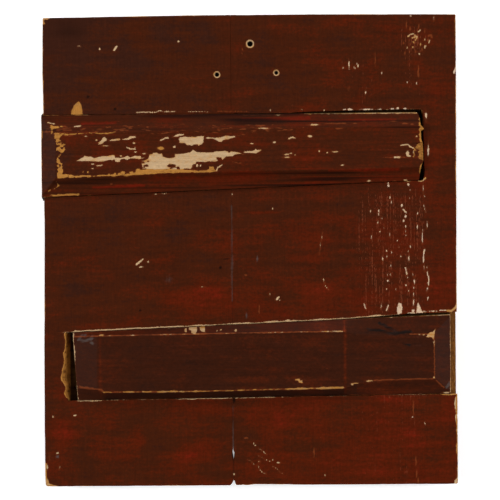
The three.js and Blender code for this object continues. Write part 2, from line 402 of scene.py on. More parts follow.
def inside_rim(x, y):
    """Distance in from the rim of the front's sunk field, below zero on the border."""
    in_x = (RIGHT - LEFT) / 2 - BORDER_SIDE - np.abs(x)
    in_y = (HEAD - FOOT) / 2 - BORDER_END - np.abs(y)
    return np.minimum(in_x, in_y)


def front_rows(columns):
    """The painted face from head to foot: a border, a slope of 3t^2 - 2t^3 and the sunk field, slightly wavy.
    More rows lie at the field's rim and at the spot in the joint."""
    slope_head = (HEAD - FOOT) / 2 - BORDER_END + 0.5
    slope_foot = slope_head - FIELD_SLOPE - 1
    bands = ((HEAD, slope_head, 3), (slope_head, slope_foot, 0.9), (slope_foot, 0, 6))
    half = np.concatenate([b0 + (b1 - b0) * graded(b0 - b1, 0.5, step)[:-1] for b0, b1, step in bands])
    at = np.concatenate([half, [0], -half[::-1], np.linspace(PEEP_FOOT, PEEP_HEAD, PEEP_ROWS)])
    x, y = settle(columns, foot_edge, head_edge, (np.sort(at)[::-1] - FOOT) / (HEAD - FOOT))
    slope = ramp(inside_rim(x, y), 0, FIELD_SLOPE)
    return x, y, FIELD_DEPTH * slope * slope * (3 - 2 * slope) + 0.12 * one_sided(hills(x, y, 23, 31, 41))


def edge_rows(columns, edge, from_z, to_z):
    """A narrow side of the board between the back and the front, without its two arrises."""
    t = graded(abs(to_z - from_z), 0.3, 2.6)[1:-1]
    x, y = settle(columns, edge, edge, t)
    return x, y, from_z + (to_z - from_z) * t[:, None] + 0 * x


# %% Arrises rubbed round
def worn_radius(x, y):
    """How far the board's arrises are rubbed round: less beside the joint, most at the lower left corner."""
    wear = 0.7 + 0.5 * ragged(x, y, 17, 17, 51)
    corner = one_sided(1 - np.hypot(x - LEFT, y - FOOT) / 9)
    return np.where(np.abs(x - JOINT) < 3.5, 0.1, wear + 1.4 * corner)


def rub_round(x, y, z, side_low, side_high):
    """Brings points outside the rounded block back onto it. The block is the plank's own box with its arrises
    rounded by r: a point moves along the line from the nearest point of the box shrunk by r, until it is r
    away from it."""
    radius = worn_radius(x, y)
    limits = ((x, side_low(y), side_high(y)), (y, foot_edge(x), head_edge(x)), (z, 0 * z, 0 * z + BACK))
    out = [value - np.clip(value, low + radius, high - radius) for value, low, high in limits]
    length = np.sqrt(sum(o * o for o in out))
    excess = np.where(length > radius, 1 - radius / np.maximum(length, 1e-9), 0)
    return [value - o * excess for value, o in zip((x, y, z), out)]


# %% [markdown]
# ## Marks listed one by one
# Chips, flaked paint and scratches lie where they lie on the real panel, so their places are listed one by
# one, in millimetres from the middle of the board. A mark is a spot, a stroke through a few points, or an
# outline.
# Each gives its depth: how far inside the mark a point lies, below zero outside. The deepest of them all is
# stored on the mesh, and the material adds fine noise before it asks whether the depth is above zero. That way
# even a coarse grid gives a crisp and ragged edge.

# %% Spots, strokes and outlines
def to_segment(x, y, x0, y0, x1, y1):
    """Distance to the straight piece between two points: to the nearest point p0 + t (p1 - p0), t in 0..1."""
    dx, dy = x1 - x0, y1 - y0
    t = np.clip(((x - x0) * dx + (y - y0) * dy) / max(dx * dx + dy * dy, 1e-9), 0, 1)
    return np.hypot(x - x0 - t * dx, y - y0 - t * dy)


def spot(x, y, centre_x, centre_y, half_x, half_y):
    """Depth in an ellipse: (1 - its radius there, where 1 is the rim) times the smaller half."""
    return (1 - np.hypot((x - centre_x) / half_x, (y - centre_y) / half_y)) * min(half_x, half_y)


def stroke(x, y, half, *points):
    """Depth in a stroke: half its width less the distance to the line through the points."""
    pieces = zip(points, points[1:])
    return half - np.minimum.reduce([to_segment(x, y, *p, *q) for p, q in pieces])


def outline(x, y, *corners):
    """Depth in an outline: the distance to its nearest side, positive where a ray to the left crosses an odd
    number of sides."""
    inside, distance = np.zeros(np.shape(x), dtype=bool), np.full(np.shape(x), 99.0)
    for (x0, y0), (x1, y1) in zip(corners, corners[1:] + corners[:1]):
        if y0 != y1:
            inside ^= ((y0 > y) != (y1 > y)) & (x < x0 + (x1 - x0) * (y - y0) / (y1 - y0))
        distance = np.minimum(distance, to_segment(x, y, x0, y0, x1, y1))
    return np.where(inside, distance, -distance)


# %% The deepest of many marks
OUTSIDE = -3.0  # depths are kept between this and its opposite
MARGIN = 4  # a mark is worked out this far round itself


def reach_of(mark):
    """Lowest and highest corner of a stroke or an outline, from the points among its numbers."""
    at = np.array([p for p in mark if isinstance(p, tuple)])
    return (*at.min(axis=0), *at.max(axis=0))


def marks(x, y, spots=(), strokes=(), outlines=(), rough=0.3, seed=200):
    """The greatest depth in any of the marks, with their edges shaken by fine hills. Each mark is worked out
    only on the points near it."""
    u = x + rough * ragged(x, y, 2.3, 1.5, seed)
    v = y + rough * ragged(x, y, 2.3, 1.5, seed + 5)
    depth = np.full(np.shape(x), OUTSIDE)
    jobs = [(spot, s, (s[0] - s[2], s[1] - s[3], s[0] + s[2], s[1] + s[3])) for s in spots]
    for shape, group in ((stroke, strokes), (outline, outlines)):
        jobs += [(shape, mark, reach_of(mark)) for mark in group]
    for shape, mark, (low_x, low_y, high_x, high_y) in jobs:
        close = (u > low_x - MARGIN) & (u < high_x + MARGIN) & (v > low_y - MARGIN) & (v < high_y + MARGIN)
        depth[close] = np.maximum(depth[close], shape(u[close], v[close], *mark))
    return depth


# %% [markdown]
# ### Screw holes
# Three small screws once held a hanging plate. A round hole in a square grid comes out ragged, so the square
# rings of points round the hole's centre are bent into circles, which fade back to squares further out.

# %% Sink a screw hole
HOLES = [(0.9, 156.2, 1.9, 3.1), (-24.3, 133.1, 1.5, 2.5), (20.6, 134.2, 1.3, 2.3)]  # x, y, radius, rim
HOLE_DEPTH = 12
HOLE_REACH = 9  # rings from the centre to the first untouched one


def hole_profile(radius, rim):
    """Radii of the circles from the centre out, and how deep each lies: bottom, wall, bevelled rim, back."""
    radii = [0, 0.55 * radius, 0.98 * radius, radius, (radius + rim) / 2, rim, rim + 0.8]
    return radii, [HOLE_DEPTH, HOLE_DEPTH, HOLE_DEPTH - 0.8, 1.0, 0.45, 0.06, 0]


def sink_hole(x, y, z, centre_x, centre_y, radius, rim):
    """Bends the square rings of points nearest the centre into circles and lowers the inner ones.
    Ring k of the square is the points with max(|dr|, |dc|) = k. Its circle has them at their own bearings."""
    away = np.where(z > BACK - 0.5, np.hypot(x - centre_x, y - centre_y), np.inf)
    r0, c0 = np.unravel_index(np.argmin(away), away.shape)
    span = np.arange(-HOLE_REACH, HOLE_REACH + 1)
    dr, dc = np.meshgrid(span, span, indexing="ij")
    ring = np.maximum(np.abs(dr), np.abs(dc))
    bearing = np.hypot(dr, dc) + (ring == 0)
    block = (slice(r0 - HOLE_REACH, r0 + HOLE_REACH + 1), slice(c0 - HOLE_REACH, c0 + HOLE_REACH + 1))
    radii, depths = hole_profile(radius, rim)
    steps = np.arange(len(radii))
    outer = np.interp(ring, [len(radii) - 1, HOLE_REACH], [radii[-1], HOLE_REACH * STRIP_COARSE])
    circle = np.where(ring < len(radii), np.interp(ring, steps, radii), outer)
    bent = np.clip((HOLE_REACH - ring) / (HOLE_REACH - len(radii) + 1), 0, 1)
    x[block] += bent * (centre_x + circle * dc / bearing - x[block])
    y[block] += bent * (centre_y + circle * dr / bearing - y[block])
    z[block] -= np.where(ring < len(radii), np.interp(ring, steps, depths), 0)


# %% [markdown]
# ### Relief of the back
# A plane left the back slightly wavy along the grain. An arched splinter broke off at the upper channel.

# %% Relief of the back
SPLINTER = ((
    (-134.9, 101.0), (-134.6, 106.5), (-133.2, 109.5), (-131.5, 112.0), (-129.6, 113.3), (-128.3, 113.3),
    (-127.3, 111.0), (-126.4, 108.0), (-126.0, 101.0),
),)
SPLINTER_DEPTH = 0.9


def splinter_inside(x, y):
    """Depth inside the outline of the splinter that broke off, in mm across the board."""
    return marks(x, y, outlines=SPLINTER, rough=0.25)


def put_relief(x, y, z):
    """Lowers the points that lie in the back's plane by plane waves, fibre ridges and the splinter's bed."""
    waves = 0.16 * one_sided(hills(x, y, 15, 90, 61)) + 0.05 * one_sided(hills(x, y, 2.2, 40, 62))
    fall = waves + SPLINTER_DEPTH * ramp(splinter_inside(x, y), 0, 1.2)
    return z - fall * ramp(z, BACK - 1.5, BACK - 0.3)


# %% [markdown]
# ### Columns
# The loops stand where the shape changes along x: at the sides, at the joint, and at the end walls of the
# channels, which were chopped with a chisel and wander. Between these stops the columns are weighted means.

# %% The joint, where it gapes
# half the width of the spot where the joint gapes, drawn out towards the foot, as y and mm
peep = traced((PEEP_FOOT, 0), (-156.8, 0.5), (-154.7, 0.8), (-152.3, 0.8), (PEEP_HEAD, 0))


def joint_wear(y, seed):
    """How far an edge stands back in the joint: the gaping spot, and hollows that close towards both ends."""
    closing = np.clip((175 - np.abs(y)) / 6, -0.7, 1)
    return peep(y) + 0.05 * closing * one_sided(hills(y, 0, 8, 1, seed) + 0.2)


def joint_left(y):
    """The left plank's edge in the joint."""
    return JOINT_LEFT - joint_wear(y, 73)


def joint_right(y):
    """The right plank's edge in the joint."""
    return JOINT_RIGHT + joint_wear(y, 74)


# %% End walls of the channels
# the upper edge of the lower channel's end wall, chopped roughly with a chisel, as y and x
chopped_line = traced(
    (-112, -138.5), (-109.5, -140.0), (-107, -141.0), (-103, -140.0), (-100, -141.0), (-98, -142.8),
    (-95, -143.3), (-93, -143.0), (-89.5, -142.4), (-86, -141.5), (-82, -141.0), (-77, -141.5),
    (-75, -140.7), (-70, -140.0), (-65, -140.2), (-62.5, -141.0), (-61, -139.8), (-59.5, -138.6),
)
# the upper channel's end wall
end_wall = traced(
    (51, 130.5), (53, 131.2), (55, 131.9), (59, 132.4), (64, 131.9), (80, 131.8), (92, 131.5), (101, 131.3),
    (106, 130.6),
)


def chopped_mouth(y):
    """The upper edge of the lower channel's end wall, crumbled."""
    return chopped_line(y) - 0.25 * ragged(y, 0, 2.5, 1, 75)


def chopped_foot(y):
    """The lower edge of the same wall, at the channel's floor."""
    return -137.4 + 0.4 * ragged(y, 0, 5, 1, 76)


def shifted(line, by):
    """The same line moved sideways."""
    return lambda t: line(t) + by


def weighted(stops, shares):
    """Columns through stops, which are functions of y. Each column is a weighted mean of the stops beside it,
    and shares holds each stretch's steps from 0 to 1."""
    count = sum(len(s) - 1 for s in shares) + 1
    weights = np.zeros((len(stops), count))
    start = 0
    for k, s in enumerate(shares):
        weights[k, start:start + len(s)] = 1 - s
        weights[k + 1, start:start + len(s)] = s
        start += len(s) - 1
    return lambda y: sum(w[None, :] * stop(y) for w, stop in zip(weights, stops))


# %% Make a plank
CAP_RINGS = (1.0, 0.5)  # extra loops on each end face, as shares of the arris radius


def end_ring(x, y, z, share):
    """A loop on the plank's end face, drawn in from its outline by a share of the arris radius.
    The channels' own walls stay where they are."""
    inset = share * worn_radius(x, y)
    inner_y = np.clip(y, foot_edge(x) + inset, head_edge(x) - inset)
    return x, inner_y, np.clip(z, inset, BACK - inset)


def make_plank(name, stops, shares, cuts, floor_step, holes):
    """The whole closed surface of one plank. cuts holds, for each channel, how deep each column is cut."""
    columns = weighted(stops, shares)
    lower_cut, upper_cut = cuts
    rows = [strip_rows(columns, LIPS[0], LIPS[1], None, lower_cut)]
    rows += channel_rows(columns, LIPS[1], LIPS[2], lower_cut, floor_step)
    rows += [strip_rows(columns, LIPS[2], LIPS[3], lower_cut, upper_cut)]
    rows += channel_rows(columns, LIPS[3], LIPS[4], upper_cut, PLAIN_FLOOR_STEP)
    rows += [strip_rows(columns, LIPS[4], LIPS[5], upper_cut, None)]
    x, y, z = (np.concatenate(part) for part in zip(*rows))
    for hole in holes:
        sink_hole(x, y, z, *hole)
    back = x, y, put_relief(x, y, z)
    over, under = edge_rows(columns, head_edge, BACK, 0), edge_rows(columns, foot_edge, 0, BACK)
    x, y, z = (np.concatenate(part) for part in zip(back, over, front_rows(columns), under))
    first, last = ([end_ring(x[:, c], y[:, c], z[:, c], share) for share in CAP_RINGS] for c in (0, -1))
    x, y, z = (np.column_stack(part) for part in zip(*first, (x, y, z), *last[::-1]))
    return loops_to_mesh(name, *rub_round(x, y, z, stops[0], stops[-1]))


# %% [markdown]
# ## Shader arithmetic
# A material is a network of nodes. Written as Python expressions it can be read, so one small class wraps a
# socket: adding, subtracting or multiplying wrapped sockets adds Math nodes. Other nodes come from `node`.

# %% Shader arithmetic
class Wire:
    """One output socket of a node tree. Arithmetic on it adds Math nodes."""

    def __init__(self, tree, socket):
        self.tree, self.socket = tree, socket

    def maths(self, operation, first, second):
        """Adds one Math node."""
        return node(self.tree, "ShaderNodeMath", {"operation": operation}, {0: first, 1: second})

    def __add__(self, other):
        return self.maths("ADD", self, other)

    def __sub__(self, other):
        return self.maths("SUBTRACT", self, other)

    def __rsub__(self, other):
        return self.maths("SUBTRACT", other, self)

    def __mul__(self, other):
        return self.maths("MULTIPLY", self, other)

    __radd__ = __add__
    __rmul__ = __mul__

    def above(self, low, high):
        """0 below low and 1 above high, with a soft step between. low may be the larger one."""
        if low > high:
            return 1 - self.above(high, low)
        inputs = {"Value": self, "From Min": low, "From Max": high}
        return node(self.tree, "ShaderNodeMapRange", {"interpolation_type": "SMOOTHSTEP"}, inputs)

    def most(self, other):
        """The larger of the two."""
        return self.maths("MAXIMUM", self, other)

    def size(self):
        """The value without its sign."""
        return self.maths("ABSOLUTE", self, 0)


def fill(made, inputs):
    """Sets or links a node's input sockets."""
    for key, value in inputs.items():
        if isinstance(value, Wire):
            value.tree.links.new(value.socket, made.inputs[key])
        else:
            made.inputs[key].default_value = value


def node(tree, kind, settings, inputs, output=0):
    """Adds a node, makes its settings, then fills its input sockets. Returns one output."""
    made = tree.nodes.new(kind)
    for key, value in settings.items():
        setattr(made, key, value)
    fill(made, inputs)
    return Wire(tree, made.outputs[output])


# %% Stored numbers, noise and cracks
def attribute(tree, name):
    """A number stored on the mesh's points by keep."""
    return node(tree, "ShaderNodeAttribute", {"attribute_name": name}, {}, "Fac")


def vectors(tree, operation, first, second):
    """One Vector Math node."""
    return node(tree, "ShaderNodeVectorMath", {"operation": operation}, {0: first, 1: second})


def stretched(tree, sizes):
    """Object coordinates, in metres, scaled so that a pattern of scale 1 has cells of these sizes in mm."""
    place = node(tree, "ShaderNodeTexCoord", {}, {}, "Object")
    return vectors(tree, "MULTIPLY", place, tuple(1000 / size for size in sizes))


def noise(tree, sizes, detail=2.0, roughness=0.5, offset=0.0):
    """Noise from about -0.3 to 0.3, with cells of those sizes in mm. offset takes it from another place."""
    at = vectors(tree, "ADD", stretched(tree, sizes), (offset, offset, offset))
    inputs = {"Vector": at, "Scale": 1.0, "Detail": detail, "Roughness": roughness}
    return node(tree, "ShaderNodeTexNoise", {"noise_dimensions": "3D"}, inputs) - 0.5


def cracks(tree, sizes, offset=0.0):
    """Distance to the edges of irregular cells of those sizes in mm: near 0 on a crack."""
    bend = noise(tree, [size * 0.6 for size in sizes], 2.0, 0.5, offset + 3) + 0.5
    inputs = {"Vector": vectors(tree, "ADD", stretched(tree, sizes), bend), "Scale": 1.0}
    return node(tree, "ShaderNodeTexVoronoi", {"feature": "DISTANCE_TO_EDGE"}, inputs)


# %% Colours and materials
RELIEF_DEPTH = 0.3  # from the lowest to the highest place of a finish, in mm


def tint(*chart):
    """A colour as a paint chart gives it, red, green and blue from 0 to 255, made linear for the shader:
    ((v + 0.055) / 1.055)^2.4, and v / 12.92 for the darkest."""
    values = [value / 255 for value in chart]
    return (*(v / 12.92 if v <= 0.04045 else ((v + 0.055) / 1.055) ** 2.4 for v in values), 1.0)


def blend(tree, share, first, second):
    """Colour first where share is 0 and second where it is 1."""
    return node(tree, "ShaderNodeMix", {"data_type": "RGBA"}, {0: share, 6: first, 7: second}, 2)


def brighten(tree, colour, factor):
    """The colour times a number, as a vector, because a Math node would turn it grey."""
    return node(tree, "ShaderNodeVectorMath", {"operation": "SCALE"}, {0: colour, "Scale": factor})


def new_material(name):
    """A material with one shader, and its tree."""
    material = bpy.data.materials.new(name)
    material.use_nodes = True
    return material, material.node_tree


def finished(material, colour, roughness, height, specular):
    """Fills the one shader at a material's end. height is 0 to 1 over RELIEF_DEPTH."""
    tree = material.node_tree
    relief = {"Strength": 1.0, "Distance": RELIEF_DEPTH * MM, "Height": height}
    bump = node(tree, "ShaderNodeBump", {}, relief)
    inputs = {"Base Color": colour, "Roughness": roughness, "Normal": bump, "Specular IOR Level": specular}
    fill(tree.nodes["Principled BSDF"], inputs)
    print(f"{material.name}: {len(tree.nodes)} nodes")
    return material


# %% [markdown]
# ## The painted back
# One dark oil paint covers planks and battens. Under it the grain runs upright in the planks and across in
# the battens, so both materials come from one function that is told how long a fibre is each way. Where the
# paint has gone, the wood is pale if the loss is fresh and golden where it was rubbed for long; its brown far
# down in the channels is painted shade. The finish is mixed from two sources. The numbers stored on the mesh
# say where something happened, and noise on Object coordinates, finer than the mesh, gives it its grain.

# %% What the finish is mixed from
CHALKY, WOOD_PALE = tint(212, 182, 156), tint(192, 160, 121)
WOOD_GOLD, WOOD_DEEP = tint(172, 117, 53), tint(104, 62, 28)
# the first colour on the next line is the dark brown that dirt and painted shade darken towards
SOOT_AND_SHADE, ORANGE = tint(16, 8, 5), tint(136, 66, 32)
# the second colour on the next line is the bluish film of scuffs and of painted sheen
PINKISH, BLUISH = tint(146, 72, 44), tint(90, 84, 80)
STORED = ("bare", "faint", "gold", "grime", "red", "crazed", "scuff")


def patterns(tree, fibre, streak, torn, crackle):
    """The stored numbers and the noises, by name. fibre, streak, torn and crackle are the sizes in mm of a
    fibre, of a brushed streak, of the bites in a loss's edge and of a crack."""
    on = SimpleNamespace(**{key: attribute(tree, key) for key in STORED})
    on.fibres = noise(tree, fibre, 3.0, 0.6)
    on.streaks = noise(tree, streak, 3.0, 0.55, 7.0)
    on.clouds = noise(tree, (30, 22, 30), 4.0, 0.6, 2.0)
    on.specks = noise(tree, (2.4, 1.8, 2.4), 2.0, 0.6, 5.0)
    on.fray = noise(tree, torn, 3.0, 0.6, 11.0)
    bites = noise(tree, [size * 0.9 for size in torn], 2.0, 0.5, 17.0)
    on.web = (bites * 0.8 + noise(tree, crackle, 1.0, 0.5, 19.0) + on.crazed * 0.27).above(0.37, 0.47)
    on.dirt = noise(tree, [size * 0.5 for size in torn], 3.0, 0.6, 23.0).above(0.06, 0.24)
    return on


# %% Paint and bare wood
def paint_coat(tree, on, paints):
    """Paint from the darkest brown to the brightest red, then scuffed, given a painted bluish sheen, crazed
    and rubbed thin.
    """
    hue = on.red + on.clouds * 2.2 + on.streaks * 1.1 + on.specks * 0.9
    coat = paints[0]
    for paint, low, high in zip(paints[1:], (-0.25, 0.4, 1.0), (0.4, 1.1, 1.8)):
        coat = blend(tree, hue.above(low, high), coat, paint)
    coat = brighten(tree, coat, 1 + on.fibres * 0.45 + on.streaks * 0.45 + on.specks * 0.5)
    # a bluish film: scuffs on the planks, a painted sheen on the battens' bevels, facets and soot
    veil = (on.scuff + on.fibres * 0.8 + on.specks * 0.6).above(0.15, 1.1)
    thin = (on.faint + on.fray * 1.3).above(-0.2, 0.3)
    near_loss = (on.bare + on.fray * 1.4).above(-0.8, -0.05)
    films = ((veil * 0.5, BLUISH), (on.web * 0.36, PINKISH), (thin * 0.5, ORANGE), (near_loss * 0.2, ORANGE))
    for share, colour in films:
        coat = blend(tree, share, coat, colour)
    return coat


def bare_wood(tree, on):
    """Wood where the paint is gone, from chalky through pale and golden to deep brown, and dirty in spots."""
    tone = on.gold + on.fray + on.streaks * 0.6 + on.specks * 0.8
    deep = on.gold + on.fray * 1.6 + on.streaks * 0.5
    steps = (
        (tone.above(-0.7, -0.1), WOOD_PALE), (tone.above(0.1, 0.9), WOOD_GOLD),
        (deep.above(1.1, 1.9), WOOD_DEEP), (on.dirt * 0.5, WOOD_DEEP),
    )
    wood = CHALKY
    for share, colour in steps:
        wood = blend(tree, share, wood, colour)
    return brighten(tree, wood, 1 + on.fibres * 0.56 + on.specks * 0.4)


def painted_wood(name, fibre, streak, torn, crackle, paints, roughness, specular):
    """Aged paint over wood. Where the depth of bare wood, shaken by fray, is above zero, the wood shows. Its
    surface lies lower and is duller. paints go from the darkest brown to the brightest red."""
    material, tree = new_material(name)
    on = patterns(tree, fibre, streak, torn, crackle)
    gone = (on.bare + on.fray * 1.4).above(-0.1, 0.14)
    colour = blend(tree, gone, paint_coat(tree, on, paints), bare_wood(tree, on))
    # dirt and painted shade, stored on the mesh, darken the colour towards a sooty brown
    colour = blend(tree, (on.grime + on.specks * 0.3).above(0.05, 1.0) * 0.9, colour, SOOT_AND_SHADE)
    height = 0.67 + on.fibres * 0.2 + on.specks * 0.14 - gone * 0.5 - on.web * 0.2
    return finished(material, colour, roughness + gone * 0.25 + on.specks * 0.15, height, specular)


# %% Make the paints
BOARD_PAINTS = [tint(56, 26, 15), tint(65, 26, 9), tint(80, 25, 6), tint(102, 25, 8)]
LOWER_PAINTS = [tint(49, 23, 13), tint(55, 23, 10), tint(70, 25, 8), tint(104, 38, 14)]
ACROSS = {"fibre": (22, 0.9, 0.9), "torn": (3, 0.9, 0.9), "crackle": (70, 1.3, 1.3)}

board_paint = painted_wood(
    "board_paint", fibre=(0.9, 26, 0.9), streak=(36, 4.5, 5), torn=(0.9, 3, 0.9), crackle=(1.0, 50, 1.0),
    paints=BOARD_PAINTS, roughness=0.55, specular=0.03,
)
upper_paint = painted_wood(
    "upper_paint", streak=(70, 2.2, 5), paints=BOARD_PAINTS, roughness=0.55, specular=0.03, **ACROSS
)
lower_paint = painted_wood(
    "lower_paint", streak=(60, 4, 5), paints=LOWER_PAINTS, roughness=0.5, specular=0.04, **ACROSS
)

# %% [markdown]
# ## The planks' paint losses
# On the left there are few: rubbed edges and small chips. On the right, thick paint has flaked off in short
# upright dashes along the grain, in rows that follow a crack, most of them between the battens' ends.
# A spot is its place and half its width and height. A stroke is half its width and its points.

# %% Chips and scratches on the planks
PLANK_SPOTS = [
    (-113, 153, 0.7, 0.9), (-53.2, 158.3, 0.8, 0.8), (-128.5, 155.2, 1.1, 0.5), (-81.3, -6.3, 0.6, 0.6),
    (-82.7, -12, 1.4, 0.6), (-77.2, -8.3, 0.8, 0.7), (-36.5, -27.5, 1.3, 0.4), (14.4, -33.4, 0.6, 1.0),
    (21.8, -38, 0.5, 0.5), (17.2, 31.5, 0.6, 0.8), (-133.2, -124, 1.2, 0.6), (-149.7, -125, 0.8, 0.8),
    (-154.3, -163, 0.5, 1.2), (-145.3, -163.5, 0.4, 1.2), (-146.8, -152.5, 1.0, 0.7),
    (-155, 172.8, 0.7, 0.8), (16, 105.9, 0.7, 0.7), (39.4, 106.2, 0.6, 0.7), (56.6, 105.7, 0.5, 0.6),
    (72.3, 106.1, 1.0, 0.6), (76.3, 106.1, 1.6, 0.8), (88.5, 106, 4.0, 0.6), (99, 106, 1.2, 0.5),
    (108.5, 106.3, 1.8, 0.6), (112.3, 106.8, 0.9, 0.9), (117.5, 106.4, 1.4, 0.6), (-71, 42.9, 1.0, 0.4),
    (-65, 43.3, 2.0, 0.35), (-36, 45.8, 1.0, 0.4), (11, 47.7, 2.5, 0.35), (-13.3, 42.3, 0.4, 1.0),
    (-13.2, -169.3, 0.8, 0.8), (16, -158.3, 0.6, 0.8), (20.5, -160.8, 1.2, 0.7), (5.8, -160, 0.7, 1.0),
    (55.5, -170.3, 0.6, 1.0), (122, -126.8, 0.6, 0.6), (131.3, -131.5, 0.5, 0.8),
]
PLANK_STROKES = [
    (0.8, (-102, 152.3), (-100, 154.8)), (0.7, (-86, -10.2), (-82.7, -7.4)),
    (0.7, (19.3, -37.5), (21.3, -35.5)), (0.2, (55, 13.5), (53.3, 5), (52.2, -4)),
    (0.3, (55, -21.5), (56.5, -27), (59.5, -30.5)),
    (0.38, (-85.5, 104.9), (-70, 105), (-68.3, 106.2), (-66, 105.6), (-56, 105.4)),
    (0.2, (-46, 105.2), (-31, 105)), (0.45, (1.5, -146), (3, -147.8)),
    (0.35, (5, -150), (8, -151.5), (11.5, -154.5)), (0.3, (10.5, -158.5), (14, -160)),
    (0.15, (5, -155), (9, -157.5)), (0.2, (16, -163.5), (18.5, -164.8), (22, -168.5), (24, -169.3)),
    (0.3, (-3, -158), (-0.5, -159.5), (2, -162)), (0.32, (4.5, -163), (6, -165.5), (8, -168), (11, -169.3)),
    (0.6, (155, 133), (156.3, 137)), (0.4, (119, -48.3), (124, -48.2)), (0.3, (131, -47.1), (141, -46.9)),
    (0.4, (143, -46.4), (149, -46.2)), (0.8, (149, -46.6), (152, -46.8), (154.5, -44.8), (155.5, -43)),
]
PLANK_OUTLINES = [
    ((-158, -170.5), (-154.9, -171), (-153.8, -173), (-153.2, -175.2), (-150.8, -176.3), (-147, -177.2),
     (-147, -180), (-158, -180)),
    ((-158, 178.5), (-158, 172), (-155.6, 172), (-154.6, 175.4), (-151.5, 175.8), (-150.5, 176.6),
     (-152, 178.5)),
    ((110.7, -45.5), (111, -43), (112.5, -40), (114, -41), (115, -44), (114.3, -48.5), (111, -49)),
    ((125.5, -48), (126, -43), (126.8, -39.8), (127.8, -42.5), (129, -46), (130.5, -48)),
]

# %% Flakes along the grain, on the right
FLAKES = [
    (71.1, 137.5, 0.7, 1.1), (75.2, 121.7, 0.4, 1.0), (88, 119, 0.5, 1.3), (100.3, 133.5, 0.4, 1.0),
    (119.6, 126.5, 0.6, 0.7), (126.8, 125.5, 0.5, 0.9), (128.8, 147.6, 0.6, 0.8), (124.2, 152.7, 0.9, 0.7),
    (119.8, 152.5, 0.7, 0.9), (129.8, 155, 0.5, 1.4), (133, 158.5, 0.6, 1.0), (122.6, 176.5, 0.7, 0.7),
    (140, 174.5, 0.5, 1.5), (133.8, 101.5, 0.75, 2.0), (133.7, 97.5, 0.6, 1.2), (135.7, 90.8, 0.9, 1.0),
    (136.5, 85.7, 0.8, 0.7), (133.9, 82.2, 0.5, 0.6), (104.8, 50, 0.5, 1.5), (104.9, 48.2, 0.9, 0.9),
    (120, 49, 0.9, 1.0), (121.3, 44.7, 0.5, 0.8), (120.8, 38.7, 0.5, 0.7), (106, 39.5, 0.5, 1.2),
    (107, 36, 0.5, 1.2), (115, 33.3, 1.0, 1.3), (117.7, 25.1, 0.9, 1.2), (116, 21.7, 0.6, 1.0),
    (117.8, 17.6, 0.6, 1.0), (117.7, 13.8, 0.5, 1.0), (118, 10.5, 0.5, 1.0), (131.2, 45, 0.3, 3.0),
    (131.9, 40, 0.5, 1.0), (126.9, 27, 0.5, 1.0), (126.5, 17, 0.4, 1.5), (97.3, 29.2, 0.7, 1.0),
    (97.2, 26.7, 0.5, 1.0), (91.2, 29, 0.4, 1.2), (99.8, 24, 0.4, 0.9), (96.5, 20.5, 0.4, 1.0),
    (91.8, 8.7, 0.4, 1.6), (96.9, 6.8, 0.4, 1.0), (98, 13.4, 0.7, 0.5), (101.5, 17, 0.3, 1.0),
    (105.5, 11, 0.4, 1.5), (111.3, 6.8, 0.6, 0.6), (112.4, 1.8, 0.5, 0.9), (114, -5.2, 0.6, 0.9),
    (121.2, 2, 0.5, 1.2), (119.5, -1.5, 0.5, 0.8), (120, -7.2, 0.65, 1.9), (103.1, -1, 0.6, 0.8),
    (103.5, -5.5, 0.4, 1.5), (106.8, -2.5, 0.4, 1.3), (100, -7, 0.4, 1.5), (106.2, -12.5, 0.5, 1.5),
    (106, -18.8, 0.45, 1.0), (103.8, -19, 0.4, 1.0), (103.8, -23.6, 0.8, 1.0), (118.9, -21.3, 0.5, 0.8),
    (117.6, -27, 0.7, 0.8), (119.6, -31.5, 0.4, 1.0), (122.8, -19, 0.4, 1.3), (124, -24, 0.6, 2.4),
    (123.5, -29, 0.5, 0.9), (123.3, -34, 0.4, 2.0), (123.3, -40, 0.6, 2.5), (131.9, -0.6, 0.7, 0.6),
    (131.5, -14, 0.4, 1.8), (133.7, -14, 0.5, 1.0), (133.9, -29.5, 0.7, 1.0), (133.6, -31.5, 0.5, 1.0),
    (99, -42.5, 0.4, 2.0), (103, -30, 0.6, 0.7), (109.9, -30.5, 0.4, 1.0), (123, -46.5, 1.2, 1.3),
]
FLAKE_STROKES = [
    (0.6, (81.7, 140.8), (82.6, 138.5)), (0.6, (120.5, 161), (122, 162.5), (124.5, 163), (126, 161.5)),
    (0.6, (123.3, 159.8), (127.5, 161), (126, 158)), (0.5, (128, 164.5), (130, 166)),
    (0.5, (124, 156.8), (125.5, 156.2)), (0.6, (133.8, 154.3), (133, 152.3)),
    (0.5, (137, 158.3), (136, 156)), (0.6, (115.8, 30.3), (118.2, 27.8)), (0.35, (131.3, 34), (133, 28)),
    (0.4, (134.3, 21), (133.5, 15)), (0.55, (117.3, -14), (118.5, -19)), (0.35, (130.3, 15), (130.2, 4)),
    (0.5, (131.8, 0), (131.1, -5), (131, -10)), (0.55, (133.6, -17), (134.7, -21), (134.7, -27)),
    (0.45, (134.3, -36), (134, -38.5)), (0.45, (86.1, -41), (86.5, -43.5), (87.2, -44.8)),
    (0.5, (104.3, -42), (102.8, -46)), (0.95, (134.8, 79.2), (135.9, 78.6)),
    (0.8, (135.3, 78), (135.1, 71.5)), (0.85, (135.1, 71.5), (135, 70)),
]
FLAKE_OUTLINES = [
    ((75.5, 143.3), (76.3, 142.5), (76.2, 136), (75.3, 136), (75.6, 138.5), (74.7, 140)),
    ((79.3, 139), (80, 139.2), (80.9, 137), (80.2, 136), (79.2, 136.8)),
]

